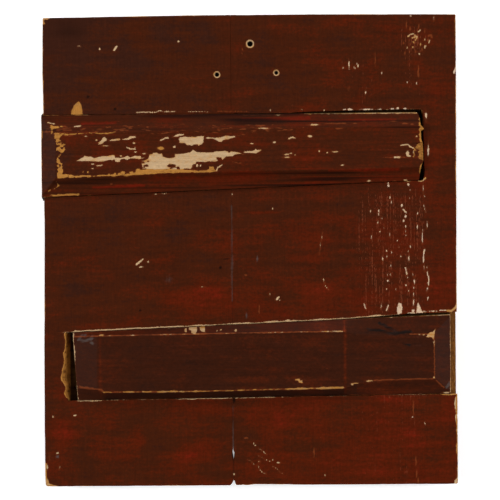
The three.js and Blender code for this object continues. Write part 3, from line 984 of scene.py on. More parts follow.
# %% Faint wear, bluish scuffs and dark spots on the planks
PLANK_FAINT = [
    (-4, -142, 1.4, 0.7), (47.2, -153, 0.6, 3.0), (95.5, 143, 0.35, 3.5), (128, 134, 0.6, 4.0),
    (119.3, 169.5, 0.4, 2.0), (118, 148, 0.4, 1.0), (121.5, 149, 0.5, 0.8), (126, 149.5, 0.5, 1.2),
    (131, 151, 0.4, 1.2), (122, 167, 0.5, 1.4), (128.5, 168.5, 0.5, 1.6), (133, 165, 0.4, 1.4),
    (117, 156, 0.5, 0.8), (135.5, 158, 0.5, 1.0), (-3.4, -18.7, 0.9, 0.8), (-152.8, -155, 0.4, 4.0),
    (122.5, -120, 0.4, 5.0), (124.3, -160, 0.4, 2.5), (124.8, -170, 0.4, 2.5), (126, -175, 0.4, 2.0),
]
FAINT_STROKES = [
    (0.3, (6.5, -48), (6.8, -41)), (0.6, (136, 161.3), (138, 161.8), (138.3, 160)),
    (0.2, (-24, 105.3), (-1, 105.1)), (0.4, (-5.2, 148), (-5.2, 152.5)),
]
PLANK_SCUFFS = [(5.3, -6.5, 0.5, 1.6), (-3, -49.5, 0.6, 1.6), (-146.8, -155.2, 1, 1)]
PLANK_DARK = [
    (-101.5, 107.2, 1.3, 1.2), (-122, 117, 1.2, 1.2), (-22.7, -12.7, 1.5, 1.3), (-18, -6.5, 3.0, 0.5),
    (-83.5, -45, 1.5, 0.8), (-13, -112.3, 1.1, 3.6),
]

# %% Pale edges and lips
# the right edge below the lower channel, rubbed pale: how far in from the edge, as y and x
rubbed_edge = traced(
    (-178, 153), (-175, 153), (-173, 154.9), (-165, 154.9), (-162, 155.4), (-156, 154.7), (-153, 154.2),
    (-148.5, 153.9), (-146, 154.9), (-140, 154.9), (-133, 154.5), (-128, 153.8), (-123, 154.2),
    (-119, 153.4), (-115.5, 153.3), (-113, 153.8), (-111, 154.5), (-109, 158), (180, 158),
)

# pale wood along a channel's lip: how far out from the lip it is bare, as x and mm, below zero where it isn't
lower_head_wear = traced(
    (-157, -1), (-135, 0.3), (-133, 1.3), (-130, 0.9), (-100, 0.9), (-63, 0.85), (-61, 0.95), (-52, 0.9),
    (-50, 0.5), (-43, 0.6), (-41, 0.9), (-33, 0.9), (-31, 0.5), (-14, 0.6), (-12, 1.1), (-2, 1.1), (0, 0.6),
    (9, 0.6), (11, 1.1), (20, 1.1), (22, 0.5), (26, 0.7), (28, 1.7), (31, 0.7), (33, 1.2), (36, 0.6),
    (47, 0.7), (50, 1.2), (57, 1.0), (60, 0.6), (90, 0.5), (93, 1.1), (97, 1.0), (100, 0.3), (118, 0.1),
    (157, 0.1),
)
lower_foot_wear = traced(
    (-157, -1), (-133, -0.4), (-131, 0.6), (-113, 0.5), (-111, 0.1), (-60, 0.1), (-45, 0.45), (-15, 0.45),
    (5, 0.25), (17, 0.3), (20, 0.0), (100, 0.0), (128, 0.3), (132, -0.1), (143, 0.0), (146, 0.8),
    (157, 0.6),
)
upper_head_wear = traced(
    (-157, -0.5), (-150, -0.4), (-90, -0.3), (60, -0.3), (66, -0.1), (130, 0.1), (133, -0.1), (134, -1),
    (157, -1),
)
upper_foot_wear = traced(
    (-157, -0.4), (100, -0.5), (116, -0.3), (119, 0.4), (125, -0.1), (129, 0.6), (133.5, 0.8), (134, -1),
    (157, -1),
)
LIP_WEAR = (lower_foot_wear, lower_head_wear, upper_foot_wear, upper_head_wear)


def wear_of_arris(x, y, z):
    """Depth of bare wood along the board's outer arrises: a width that wanders, less the distance to them."""
    to_side = np.minimum(x - outer_left(y), outer_right(y) - x)
    to_end = np.minimum(y - foot_edge(x), head_edge(x) - y)
    to_face = np.minimum(BACK - z, z)
    width = 0.1 + 0.9 * ragged(x, y, 21, 21, 91)
    width += 0.5 * (x < LEFT + 6) * ramp(y, 100, 140) + 1.2 * (x < LEFT + 3) * (y < -160)
    width += 0.45 * (x > RIGHT - 6) * (y > -45)
    return width - np.hypot(np.minimum(to_side, to_end), to_face)


def wear_of_lips(x, y, z):
    """Depth of bare wood along the channels' lips: the width there less the distance to the lip."""
    wander = 0.3 * ragged(x, y, 5, 5, 92)
    return np.maximum.reduce([
        wear(x) + wander * (wear(x) > -0.8) - np.hypot(y - lip(x), 0.6 * (BACK - z))
        for lip, wear in zip(LIPS[1:5], LIP_WEAR)
    ])


# %% Each kind of bare wood on a plank
SPREAD = 2.6  # a channel's long walls reach this far beyond its lips, and a little more
LOWER_FROM, UPPER_TO = -144.5, 134  # just beyond the end walls of the lower and of the upper channel
OPEN_END = -130  # left of this the lower channel is open, between its end wall and the batten


def in_channels(x, y, z):
    """True on the raw walls and floors of the channels."""
    lower = (y > lower_foot_lip(x) - SPREAD) & (y < lower_head_lip(x) + SPREAD) & (x > LOWER_FROM)
    upper = (y > upper_foot_lip(x) - SPREAD) & (y < upper_head_lip(x) + SPREAD) & (x < UPPER_TO)
    return (z < BACK - 1.1) & (z > FLOOR - 1) & (lower | upper)


def from_holes(x, y, which):
    """Distance beyond a circle of the nearest hole: its own where which is 2, its rim where which is 3."""
    return np.minimum.reduce([np.hypot(x - hole[0], y - hole[1]) - hole[which] for hole in HOLES])


def plank_losses(x, y, z):
    """Depth in each kind of bare wood by itself, because each has a tone of its own."""
    at = SimpleNamespace(on_back=z > BACK - 1.6, cut=in_channels(x, y, z))
    at.chips = marks(x, y, PLANK_SPOTS, PLANK_STROKES, PLANK_OUTLINES, 0.25, 210)
    at.flakes = marks(x, y, FLAKES, FLAKE_STROKES, FLAKE_OUTLINES, 0.2, 220) - 0.08
    at.arris = wear_of_arris(x, y, z)
    edge = x - rubbed_edge(y) - 0.6 + 0.6 * ragged(x, y, 2.4, 2.4, 94)
    at.edge = np.where(z > BACK - 4, edge, OUTSIDE)
    at.lips = np.where(z > BACK - 3, wear_of_lips(x, y, z), OUTSIDE)
    chopped = at.on_back & (np.abs(y + 86) < 25) & (x < -134) & (x > -147)
    mouth = 0.45 + 0.5 * ragged(x, y, 4, 4, 95) - np.abs(x - chopped_mouth(y))
    at.mouth = np.where(chopped, mouth, OUTSIDE)
    at.splinter = np.where(x < JOINT, splinter_inside(x, y), OUTSIDE)
    at.hole = from_holes(x, y, 3) - 0.1
    return at


def plank_bare(x, y, z, at):
    """Depth of bare wood, the deepest of its kinds. The channels are raw, and dirt is smeared at one end."""
    off = np.maximum.reduce([at.chips, at.flakes, at.splinter, at.mouth])
    rims = np.where(z > 10, -at.hole, OUTSIDE)
    bare = np.maximum.reduce([np.where(at.on_back, off, OUTSIDE), at.arris, at.edge, at.lips, rims])
    smeared = 0.3 + 0.6 * ragged(y, z, 2, 3, 103)
    bare = np.where(at.cut, np.where(x < OPEN_END, smeared, 3), bare)
    # a side face has points on its rim only, so paint holds on it and wear stays on the arris
    on_side = np.minimum(x - outer_left(y), outer_right(y) - x) < 0.02
    bare = np.where(on_side, np.where(at.cut, 1.2, np.minimum(bare, -0.7)), bare)
    return np.clip(bare, OUTSIDE, -OUTSIDE)


# %% Tone of the bare wood
def plank_gold(x, y, z, at):
    """Tone of the wood: below 0 chalky, 0 pale, 1 golden, 2 deep brown. A later rule overrules an earlier."""
    corner = (at.chips > -0.5) & (((x < -140) & (np.abs(y) > 165)) | ((x > 148) & (np.abs(y + 45) < 5)))
    # in the channels the wood's tone deepens towards the floor: painted shade
    raw = np.where(x < OPEN_END, 1.3 + 0.6 * ragged(y, z, 1.8, 6, 100), 0.85 + 0.85 * ramp(z, BACK, FLOOR))
    fresh = np.where(x > 60, -0.5, -0.1) + 1.1 * near(x, y, 126, 157, 16, 14)
    rules = [
        (at.arris > np.maximum(at.chips, at.lips), 0.8),
        (at.edge > -0.5, np.where(x > 155.2, 1.15, 0.2)),
        ((at.lips > np.maximum(at.chips, at.arris)) & (x < 132), 0.25 + 0.2 * (y > 0)),
        (np.maximum(at.chips, at.flakes) > -0.5, fresh),
        (corner, 0.65),
        ((at.lips > -0.5) & (x > 132), 0.75),
        (at.splinter > -1, 0.95),
        (at.mouth > np.maximum(at.chips, at.lips), 0.85),
        ((at.hole < 1.5) & at.on_back, 0.6 + 0.5 * at.hole),
        (at.cut, raw),
    ]
    tone = 0.45 + 0.4 * ragged(x, y, 12, 12, 93)
    for where, value in rules:
        tone = np.where(where, value, tone)
    return tone


# %% Dirt and painted shade
def plank_dirt_and_shade(x, y, z, at):
    """Dark spots, a corner, the joint and smudges on the back, and painted shade: a shadow line below the
    upper batten, the inside of the holes, and the channels, darker deeper down, at the open end and in the
    gaps.
    """
    spots = np.clip(marks(x, y, PLANK_DARK, seed=230) * 2 + 0.3, 0, 0.85)
    shade = 0.15 * near(x, y, LEFT, HEAD, 30, 30) + 0.35 * near(x, y, -136, 167, 15, 8)
    shade += np.exp(-np.abs(x - JOINT) / 0.5) * np.where(y < -117, 0.35, 0.25)
    shade += 0.35 * near(x, y, 136, 117, 6, 3) + 0.25 * near(x, y, 126, 23, 4, 3)
    # a painted shadow on the board along the upper batten's foot side
    batten_shadow = 0.45 * np.exp(-np.abs(y - upper_bottom(x) + 0.7) / 0.7) * (x < 62) * (x > -95)
    on_back = np.where(at.on_back, np.maximum.reduce([spots, shade, batten_shadow]), 0)
    # painted shade inside the screw holes
    in_hole = 0.95 * (from_holes(x, y, 2) < 0.15)
    # painted shade on the open channel's floor beside the batten's end, and dirt speckled on its chopped wall
    slot_end = ramp(x, -137.9, -137.0) * (z < BACK - 3)
    slot_end = (x < OPEN_END) * np.maximum(slot_end, 0.22 + 0.5 * one_sided(ragged(y, z, 2.4, 4, 99)))
    # painted shade in the gaps between the battens and the channels' walls
    gaps = (y > upper_top(x) + 0.1) | ((y > 40) & (x > 128))
    gaps |= (y > lower_top(x) + 0.1) & (y < 0) & (x < 150.6)
    # painted shade growing with depth in the channels
    deep = np.where(x > 150, 0.05, 0.25) * ramp(z, BACK, FLOOR)
    return np.maximum.reduce([on_back, in_hole, at.cut * np.maximum.reduce([deep, slot_end, 0.9 * gaps])])


# %% Colour of the paint, crazing and scuffs
RED_PATCHES = [  # strength, place and reach
    (-0.5, LEFT, HEAD, 45, 60), (0.7, -36, -35, 36, 11), (0.75, -143, -139, 13, 11), (0.6, -45, -155, 14, 6),
    (0.5, -85, -140, 6, 9), (0.3, 12, -122, 36, 8), (1.0, 9, 28.5, 12, 1.0),
]


def plank_red(x, y):
    """Redness of the paint: it grows towards the foot and a little to the right, and in patches."""
    red = np.interp(y, [-178, -110, 0, 90, 178], [0.78, 0.78, 0.58, 0.42, 0.3])
    red = red + 0.22 * np.clip(x / 100, -1, 1)
    return red + sum(strength * near(x, y, *place) for strength, *place in RED_PATCHES)


def plank_crazing(x, y):
    """How crazed the paint is: most on the flaked part at the right, and round its upper end."""
    flaked = ramp(x, 66, 88) * ramp(x, 139, 131) * ramp(y, 60, 40) * np.where(y < -112, 0.5, 1.0)
    above = 1.1 * near(x, y, 126, 158, 11, 13) + 0.6 * near(x, y, 122, 130, 14, 30)
    around = 0.3 * ramp(x, 20, 80) * ramp(x, 145, 137)
    return np.maximum.reduce([flaked, above, around])


def plank_scuff(x, y):
    """Bluish scuffs: small marks, a smear, and a broken line of them along the joint."""
    open_joint = ((y < 34) & (y > -39)) | ((y < -117) & (y > -150))
    hairline = 1.2 * np.exp(-np.abs(x - JOINT) / 0.6) * open_joint * (0.6 + 0.5 * hills(x, y, 9, 9, 98))
    smear = 0.45 * near(x, y, -62, -22, 4, 3)
    return np.clip(np.maximum.reduce([marks(x, y, PLANK_SCUFFS, seed=240) + 0.7, smear, hairline]), 0, 1)


def mark_plank(mesh):
    """Works out every stored value on a plank's points, painted shade among them, and returns where these lie.
    """
    x, y, z = read_rows(mesh.vertices, "co") / MM
    at = plank_losses(x, y, z)
    faint = marks(x, y, PLANK_FAINT, FAINT_STROKES, seed=250) + 0.15
    keep(
        mesh, bare=plank_bare(x, y, z, at), gold=plank_gold(x, y, z, at), grime=plank_dirt_and_shade(x, y, z, at),
        red=np.where(at.on_back, plank_red(x, y), 0.4), crazed=np.where(at.on_back, plank_crazing(x, y), 0),
        scuff=np.where(at.on_back, plank_scuff(x, y), 0), faint=np.where(at.on_back, faint, OUTSIDE),
    )
    return x, y


# %% [markdown]
# ## The hidden front
# The photo doesn't show the painted side, so it is finished plainly: gesso and old paint on a raised border
# and a sunk field, a dark red band round the outside, all crackled and dulled by old varnish.

# %% The front's finish
BAND_WIDTH = 8.5  # of the red band along the outline, in mm
THREAD_FROM_RIM, THREAD_HALF = 3.0, 0.5  # place and half the width of the thin line round the field, in mm


def front_finish():
    """Colours by distance from the board's outline and from the sunk field's rim, under a net of cracks."""
    material, tree = new_material("front_paint")
    to_outline, rim, lost = (attribute(tree, key) for key in ("outline", "rim", "bare"))
    clouds = noise(tree, (50, 60, 50), 4.0, 0.55)
    specks = noise(tree, (2.5, 2.5, 2.5), 3.0, 0.6, 4.0)
    brushed = noise(tree, (40, 3, 5), 3.0, 0.6, 8.0)
    cloudy = clouds.above(-0.2, 0.2)
    ochre = blend(tree, clouds.above(-0.15, 0.15), tint(128, 88, 42), tint(154, 112, 58))
    field = blend(tree, cloudy, tint(120, 84, 44), tint(150, 114, 66))
    ground = blend(tree, rim.above(-0.2, 0.2), ochre, field)
    ground = blend(tree, (BAND_WIDTH - to_outline + clouds * 1.2).above(-0.2, 0.3), ground, tint(92, 30, 20))
    thread = (THREAD_HALF - (rim + THREAD_FROM_RIM).size()).above(-0.2, 0.1)
    ground = blend(tree, thread, ground, tint(84, 28, 20))
    ground = brighten(tree, ground, 0.975 + brushed * 0.35 + specks * 0.4)
    net = cracks(tree, (7, 9, 7)).above(0.03, 0.008).most(cracks(tree, (21, 25, 21), 5.0).above(0.02, 0.006))
    ground = blend(tree, net * 0.7, ground, tint(44, 28, 18))
    gesso = blend(tree, cloudy, tint(196, 184, 160), tint(178, 158, 128))
    wood = blend(tree, cloudy, WOOD_GOLD, WOOD_PALE)
    edge = lost + noise(tree, (2.2, 2.2, 2.2), 4.0, 0.65, 13.0) * 2.6
    to_gesso, to_wood = edge.above(-0.6, -0.3), edge.above(0.3, 0.7)
    colour = blend(tree, to_gesso, ground, brighten(tree, gesso, 0.95 + specks * 0.5))
    colour = blend(tree, to_wood, colour, brighten(tree, wood, 0.9 + brushed * 0.6))
    height = 0.7 + specks * 0.2 - net * 0.3 - to_gesso * 0.25 - to_wood * 0.25
    return finished(material, colour, 0.42 + specks * 0.2 + to_gesso * 0.3, height, 0.3)


front_paint = front_finish()


# %% Which faces are the front
FACING_DOWN, FRONT_BELOW = -0.7, 4 * MM  # a front face points down more than the one and lies below the other


def mark_front(mesh, x, y):
    """Distances that the front's material reads, and which faces wear it."""
    to_outline = np.minimum(np.minimum(x - LEFT, RIGHT - x), np.minimum(y - FOOT, HEAD - y))
    keep(mesh, outline=to_outline, rim=np.clip(inside_rim(x, y), -20, 20))
    normal, centre = read_rows(mesh.polygons, "normal")[2], read_rows(mesh.polygons, "center")[2]
    front = (normal < FACING_DOWN) & (centre < FRONT_BELOW)
    mesh.polygons.foreach_set("material_index", front.astype(np.int32))


# %% [markdown]
# ## Both planks
# The left plank's columns run from its edge to the mouth of the chopped end wall, down that wall and on to
# the joint. The right plank's run from the joint through the flaked part, where they stand closer, to the end
# wall of the upper channel, which drops straight down, and on to the edge.

# %% Make the left plank
COLUMN_FINE, COLUMN_COARSE = 0.3, 1.0
left_shares = [graded(15, COLUMN_FINE, COLUMN_COARSE), stepped(0, 7, 1)]
left_shares += [graded(124, COLUMN_FINE, COLUMN_COARSE)]
before, wall, after = (len(share) - 1 for share in left_shares)
left_lower_cut = np.concatenate([np.zeros(before), np.linspace(0, 1, wall + 1) ** 0.75, np.ones(after)])
left_mesh = make_plank(
    "left_plank_painted", [outer_left, chopped_mouth, chopped_foot, joint_left], left_shares,
    (left_lower_cut, np.ones_like(left_lower_cut)), OPEN_FLOOR_STEP,
    [hole for hole in HOLES if hole[0] < JOINT],
)
mark_front(left_mesh, *mark_plank(left_mesh))
add_piece(left_mesh, "left_plank", "painted_board", board_paint, front_paint)

# %% Make the right plank
FLAKED_FROM = 84.0  # from here rightwards the columns stand closer, for the flaked paint
right_shares = [
    graded(98, COLUMN_FINE, 1.2), stepped(FLAKED_FROM, 131.5, 0.65), stepped(0, 1, 1),
    graded(24, COLUMN_FINE, 0.85),
]
before, after = sum(len(share) - 1 for share in right_shares[:2]), len(right_shares[3]) - 1
right_upper_cut = np.concatenate([np.ones(before + 1), np.zeros(after + 1)])
right_mesh = make_plank(
    "right_plank_painted",
    [
        joint_right, lambda y: FLAKED_FROM + 0 * y, shifted(end_wall, -0.15), shifted(end_wall, 0.15),
        outer_right,
    ],
    right_shares, (np.ones_like(right_upper_cut), right_upper_cut), PLAIN_FLOOR_STEP,
    [hole for hole in HOLES if hole[0] > JOINT],
)
mark_front(right_mesh, *mark_plank(right_mesh))
add_piece(right_mesh, "right_plank", "painted_board", board_paint, front_paint)

# %% [markdown]
# ## The battens
# A batten's back is moulded: a gentle facet rises from each long edge to a ridge line, a steeper one from
# there to the flat top, and the outer end is bevelled like a picture frame's. The moulding is set at a few
# stations along x, as in the solids, and the height at any point is a sum of ramps, one for each facet.

# %% Stations along the battens
# x, then for the head side and the foot side how far in the ridge and the flat begin, then the three heights
UPPER_STATIONS = np.array([
    [-157.3, 0.4, 0.8, 0.4, 0.8, 1.6, 1.75, 1.9], [-146.3, 6.8, 14, 9.4, 13.6, 1.4, 2.9, 6],
    [-80, 5.5, 13.8, 9.6, 13.8, 1.4, 2.9, 6], [0, 4, 12.4, 8.6, 12.4, 1.3, 2.8, 6],
    [70, 3.8, 11.2, 6.4, 10, 1.2, 2.7, 5.9], [126, 3.8, 10.6, 6.2, 9.6, 1.1, 2.6, 5.6],
])
LOWER_STATIONS = np.array([
    [-132.8, 1.6, 3.2, 5, 9.9, 0.6, 1.4, 2.2], [-115.8, 1.7, 3.3, 4.2, 8.3, 0.8, 3.3, 5.8],
    [-111, 1.7, 3.4, 3.1, 6.1, 0.8, 3.4, 6], [-40, 2.7, 5.3, 2.8, 5.5, 0.8, 3.4, 6],
    [70.6, 4.3, 8.6, 3.2, 6.3, 0.8, 3.4, 6], [80, 5.9, 11.8, 4.5, 9, 0.8, 3.3, 5.8],
    [108, 7.3, 14.6, 5.7, 11.4, 0.8, 3, 5.2], [139, 6.2, 12.4, 5.7, 11.4, 0.8, 2.7, 4.6],
    [151, 0.4, 0.8, 0.4, 0.8, 0.8, 0.95, 1.1],
])


# %% Height of a batten's back
def at_station(x, stations, *columns):
    """Columns of the stations, straight between them, at x."""
    return [np.interp(x, stations[:, 0], stations[:, k]) for k in columns]


def moulding(x, y, stations, top, bottom):
    """Height above the board's back. It starts at the edge height and adds, for each facet, its rise times
    how far across it the point is, from 0 to 1."""
    head_ridge, head_flat, foot_ridge, foot_flat, edge, ridge, flat = at_station(x, stations, *range(1, 8))
    low, high = bottom(x), top(x)
    lines = [low, low + foot_ridge, low + foot_flat, high - head_flat, high - head_ridge, high]
    heights = [edge, ridge, flat, flat, ridge, edge]
    total = edge
    for (a, b), (ha, hb) in zip(zip(lines, lines[1:]), zip(heights, heights[1:])):
        total = total + (hb - ha) * np.clip((y - a) / np.maximum(b - a, 0.05), 0, 1)
    return total


def softened(x, y, stations, top, bottom, blur):
    """The moulding averaged over a small cross, which rounds its arrises as handling does."""
    shifts = [(0, 0), (blur, 0), (-blur, 0), (0, blur), (0, -blur), (0, blur / 2), (0, -blur / 2)]
    return sum(moulding(x + dx, y + dy, stations, top, bottom) for dx, dy in shifts) / len(shifts)


# %% The battens' ends
PROUD_END, MITRED_END = -157.3, 151  # outer ends of the upper and of the lower batten
# the upper batten's inner end, torn as it was cut, as y and x
torn_line = traced(
    (48, 127.6), (53, 128.0), (55.5, 128.5), (64, 129.2), (65.5, 130.6), (67, 131.0), (80, 130.6),
    (81.5, 129.4), (89.8, 129.1), (90.2, 131.4), (91.4, 131.4), (91.8, 128.9), (99, 128.6), (101, 128.2),
    (103, 126.8),
)


def proud_end(y):
    """The upper batten's outer end, a little out of the board, its arris worn."""
    return PROUD_END + 0.3 * one_sided(ragged(y, 0, 16, 1, 101))


def torn_end(y):
    """The upper batten's inner end, with fibres missing."""
    return torn_line(y) - 0.3 * one_sided(ragged(y, 0, 2.6, 1, 102))


def askew_end(y):
    """The lower batten's thin end, cut aslant: further left at its head side."""
    return straight(-61.3, -134.6, -112.5, -130.9)(y) + 0.25 * one_sided(ragged(y, 0, 9, 1, 104))


def mitred_end(y):
    """The lower batten's outer end."""
    return MITRED_END - 0.25 * one_sided(ragged(y, 0, 12, 1, 105)) + 0 * y


# %% Make a batten
BATTEN_ALONG, BATTEN_ACROSS, ARRIS_FINE = 0.52, 0.47, 0.2  # steps along x, across, and at the arrises
BATTEN_WIDTH = 56  # of the wider one, for the number of steps across
ARRIS_BLUR = 0.45  # how far the moulding's arrises are softened
SIDE_RISE = 0.25  # the long sides begin this far above the board's back
FAR_X = 130  # a place near the far end of both battens


def batten_back(columns, low, high, ends, shape, dents, seed):
    """The moulded back with its rim rounded, waves and fibres in it, and dents taken out of it."""
    start, end = ends
    x, y = settle(columns, low, high, graded(BATTEN_WIDTH, ARRIS_FINE, BATTEN_ACROSS))
    height = softened(x, y, *shape, ARRIS_BLUR)
    rim = np.minimum(np.minimum(y - low(x), high(x) - y), np.minimum(x - start(y), end(y) - x))
    height -= np.minimum(fillet(rim, 0.35 + 0.25 * ragged(x, y, 9, 9, seed)), 0.8 * height)
    waves, fibres = hills(x, y, 60, 9, seed + 1), hills(x, y, 22, 1.6, seed + 2)
    height -= 0.14 * one_sided(waves) + 0.05 * one_sided(fibres)
    return x, y, BACK + np.maximum(height - dents(x, y), 0.3)


def batten_side(columns, edge, outward, down):
    """A long side, leaning out, from just above the board's back, where down is 0, to the sole at 1."""
    x, y = settle(columns, edge, edge, down)
    down, upper_z = down[:, None] + 0 * x, BACK + SIDE_RISE
    return x, y + outward * LEAN * (BACK - SOLE) * down, upper_z - (upper_z - SOLE) * down


def make_batten(name, stations, top, bottom, ends, narrowing, dents, seed):
    """A batten as one loop carried along x: over the moulded back, down one dovetailed side, along the sole
    and up the other side. ends are its two ends as functions of y, narrowing rounds the corners of the far
    end, and dents is how much wood is missing at a place."""
    length = float(stations[-1, 0] - stations[0, 0])
    columns = weighted(ends, [graded(length, ARRIS_FINE, BATTEN_ALONG)])
    far_end = float(ends[1](np.array(0.5 * (bottom(FAR_X) + top(FAR_X)))))

    def tuck(x):
        """How far the head side is drawn in at the far end, as an ellipse four times as long."""
        return narrowing * fillet(np.maximum(far_end - x, 0) / 4, 1.0)

    def low(x):
        """The foot side in plan."""
        return bottom(x) + 0.4 * tuck(x)

    def high(x):
        """The head side in plan."""
        return top(x) - tuck(x)

    inward = np.linspace(1, 0, 15)[1:-1]
    x, y = settle(columns, low, high, inward)
    sole = x, y + LEAN * (BACK - SOLE) * (2 * inward[:, None] - 1), SOLE + 0 * x
    back = batten_back(columns, low, high, ends, (stations, top, bottom), dents, seed)
    head_side = batten_side(columns, high, 1, np.linspace(0, 1, 6))
    foot_side = batten_side(columns, low, -1, np.linspace(1, 0, 6))
    return loops_to_mesh(name, *(np.concatenate(part) for part in zip(back, head_side, sole, foot_side)))


# %% Torn and chipped places, then both battens
TORN_OUT = ((
    (123.8, 80.5), (125, 78.5), (124.4, 76), (124.2, 73), (123.5, 70.5), (124.5, 68.5), (127, 67.5),
    (134, 66.5), (134, 81.5), (128.6, 80.5),
),)
CHIPPED = (
    ((-50, -61.5), (-49.5, -58.2), (-48, -57.5), (-48, -62)),
    ((-46.5, -56.5), (-40.8, -56.5), (-40.3, -60.5), (-42, -62.5), (-44.5, -62.5), (-45, -60.5),
     (-46.7, -59.5)),
    ((-38.8, -56), (-34.3, -56), (-34.2, -61), (-36, -61.4), (-38, -60.5)),
)


def torn_depth(x, y):
    """Wood torn out of the upper batten's end: the deeper the nearer to it, with ridges along the fibres."""
    inside = ramp(marks(x, y, outlines=TORN_OUT, seed=260), 0, 1.2)
    return inside * (0.5 + 0.35 * np.clip(x - 125, 0, 6) / 3 + 0.25 * hills(x, y, 9, 0.9, 106))


def chip_depth(x, y):
    """Chips broken from the lower batten's upper edge."""
    return 0.45 * ramp(marks(x, y, outlines=CHIPPED, seed=270), 0, 0.8)


upper_mesh = make_batten(
    "upper_batten_painted", UPPER_STATIONS, upper_top, upper_bottom, (proud_end, torn_end),
    narrowing=2.2, dents=torn_depth, seed=111,
)
lower_mesh = make_batten(
    "lower_batten_painted", LOWER_STATIONS, lower_top, lower_bottom, (askew_end, mitred_end),
    narrowing=0.0, dents=chip_depth, seed=121,
)

# %% [markdown]
# ## Wear on the upper batten
# It lost most of its paint in one long ragged patch over the joint, where something rubbed it. Smaller losses
# follow the grain beside it. The bevelled end is worn golden, and so is the lower ridge line on the left.

# %% The pale patch and what follows it
PALE_PATCH = (
    (-76, 70), (-75.5, 72.5), (-73, 73), (-72.3, 74), (-70, 73.8), (-68, 73), (-66, 73.3), (-65.5, 72),
    (-65.6, 71), (-63.5, 70.3), (-61, 69.8), (-57, 70), (-56.2, 70.5), (-56.2, 72.8), (-50, 72.8),
    (-48.5, 73.6), (-44.5, 74), (-43.5, 75), (-42.6, 76), (-40.8, 75), (-40, 74), (-27.5, 74),
    (-25.3, 74.7), (-21, 74.5), (-19, 75), (-16.5, 74.5), (-15.5, 73.5), (-14, 74.3), (-9, 74), (-6, 73),
    (-4.6, 72.3), (-8.5, 72.8), (-11, 72.3), (-12.6, 71), (-17.5, 70.8), (-19.5, 69.5), (-20.5, 68.2),
    (-21.2, 70), (-24, 70.2), (-25.3, 70), (-25, 69), (-23.5, 68), (-24, 67.5), (-26, 67), (-31, 67.3),
    (-33.5, 66.6), (-39.8, 67), (-40.3, 66.3), (-41.5, 65), (-42, 63.8), (-43.5, 62.8), (-44.5, 61.3),
    (-47, 62), (-50, 61.6), (-54, 61.3), (-62, 61.5), (-76, 61.5), (-78, 62.3), (-80.5, 62.2), (-81, 64),
    (-81.3, 66), (-81, 68), (-78, 68.3),
)
PALE_STREAK = (
    (-130.5, 68), (-127.5, 69.8), (-125.5, 70.3), (-124.5, 71.7), (-122, 71.2), (-119, 71.3), (-117, 70.2),
    (-112, 71.5), (-107, 71.5), (-103, 72.4), (-101.7, 72), (-101.2, 70.3), (-97.3, 70.2), (-94, 70.8),
    (-92, 71.8), (-90, 70.5), (-86.5, 71.8), (-82, 71.3), (-81.5, 70.3), (-79, 70.5), (-80, 69.7),
    (-84, 69.3), (-88, 70), (-90, 69.9), (-92, 68.5), (-95, 69.8), (-97.5, 69), (-97.7, 67.2), (-101, 67.2),
    (-101.3, 69), (-105, 68.7), (-110, 68), (-113.5, 67.3), (-116, 67.8), (-121, 68), (-127, 68),
)
UPPER_OUTLINES = [
    PALE_PATCH, PALE_STREAK,
    ((-113.8, 80.5), (-113.5, 82), (-111.5, 83.5), (-110.5, 85.5), (-109, 86), (-107.3, 83.7),
     (-109.5, 82.5), (-110.5, 81)),
    ((-96, 84.3), (-92, 85), (-90, 86.5), (-86, 86.7), (-85.3, 85.3), (-89, 84.9), (-91.5, 83.8),
     (-96, 83.8)),
    ((-58.5, 85.5), (-55, 87.3), (-53, 88), (-49, 88), (-48.8, 87.3), (-52, 86.8), (-54.5, 86)),
    ((-53.5, 85.5), (-52.5, 84.9), (-53.5, 83.8), (-52.7, 82.9), (-52.8, 81.2), (-50.5, 81.3), (-48, 80.7),
     (-46.5, 79.3), (-43, 79.3), (-42, 80), (-39, 80), (-38.5, 79), (-36, 80.2), (-34.8, 81.5),
     (-34.5, 86.2), (-39, 86.2), (-41, 85.6), (-45, 85.7)),
    ((-33.5, 84.8), (-31, 85.5), (-30, 85.2), (-27, 84.9), (-22, 85.3), (-18, 86.2), (-11, 86), (-10.3, 85),
     (-14, 84.3), (-19, 83.2), (-21.5, 81.8), (-24, 82.5), (-26, 83.5), (-29, 84.6), (-31.5, 84)),
    ((-4.5, 74.2), (0, 74.7), (3.5, 75), (4.5, 76.6), (5.5, 75.7), (8.7, 75.6), (7, 74), (5, 73), (0, 73.4),
     (-4, 73.4)),
    ((117.7, 72.5), (119, 74.5), (120, 73.5), (120, 71.5), (121.6, 70.5), (121, 69.5), (118.3, 69.8)),
    ((116.5, 52.8), (118.5, 53), (119.7, 51.5), (120.5, 48), (116.5, 48)),
]
UPPER_SPOTS = [
    (-97, 71.8, 0.8, 0.5), (-115.2, 83.7, 0.8, 0.6), (-104.7, 83.3, 0.9, 0.5), (-87, 81.4, 0.9, 0.6),
    (-86.3, 78, 0.7, 0.5), (-86, 74.5, 0.8, 0.5), (-79.5, 73.4, 1.6, 0.5), (-56.5, 78.4, 0.9, 0.8),
    (1.8, 80.5, 1, 0.5), (18.7, 81.4, 1.3, 0.8), (45.5, 85.6, 1.5, 0.9), (28, 72, 1.8, 0.5),
    (31.2, 72.8, 1, 0.5), (34.3, 71.5, 0.6, 0.5), (28, 69.9, 2.1, 0.5), (52.5, 74.3, 0.5, 0.6),
    (58.5, 73.2, 0.5, 0.5), (64.5, 73.8, 2.6, 0.6), (69.8, 63.7, 1.2, 0.6), (-118, 65.6, 1.2, 0.5),
    (-118.2, 62.3, 0.8, 0.5), (-108, 79.4, 1.8, 0.4), (-123.3, 86.6, 1, 0.5), (125.8, 85, 0.8, 0.5),
    (104.6, 48.9, 0.7, 0.8), (90, 52, 1.3, 0.6), (11, 91.8, 3.5, 0.4), (49, 94.3, 3, 0.6),
    (21.5, 102.1, 2.2, 0.5), (45, 103.3, 3, 0.8),
]
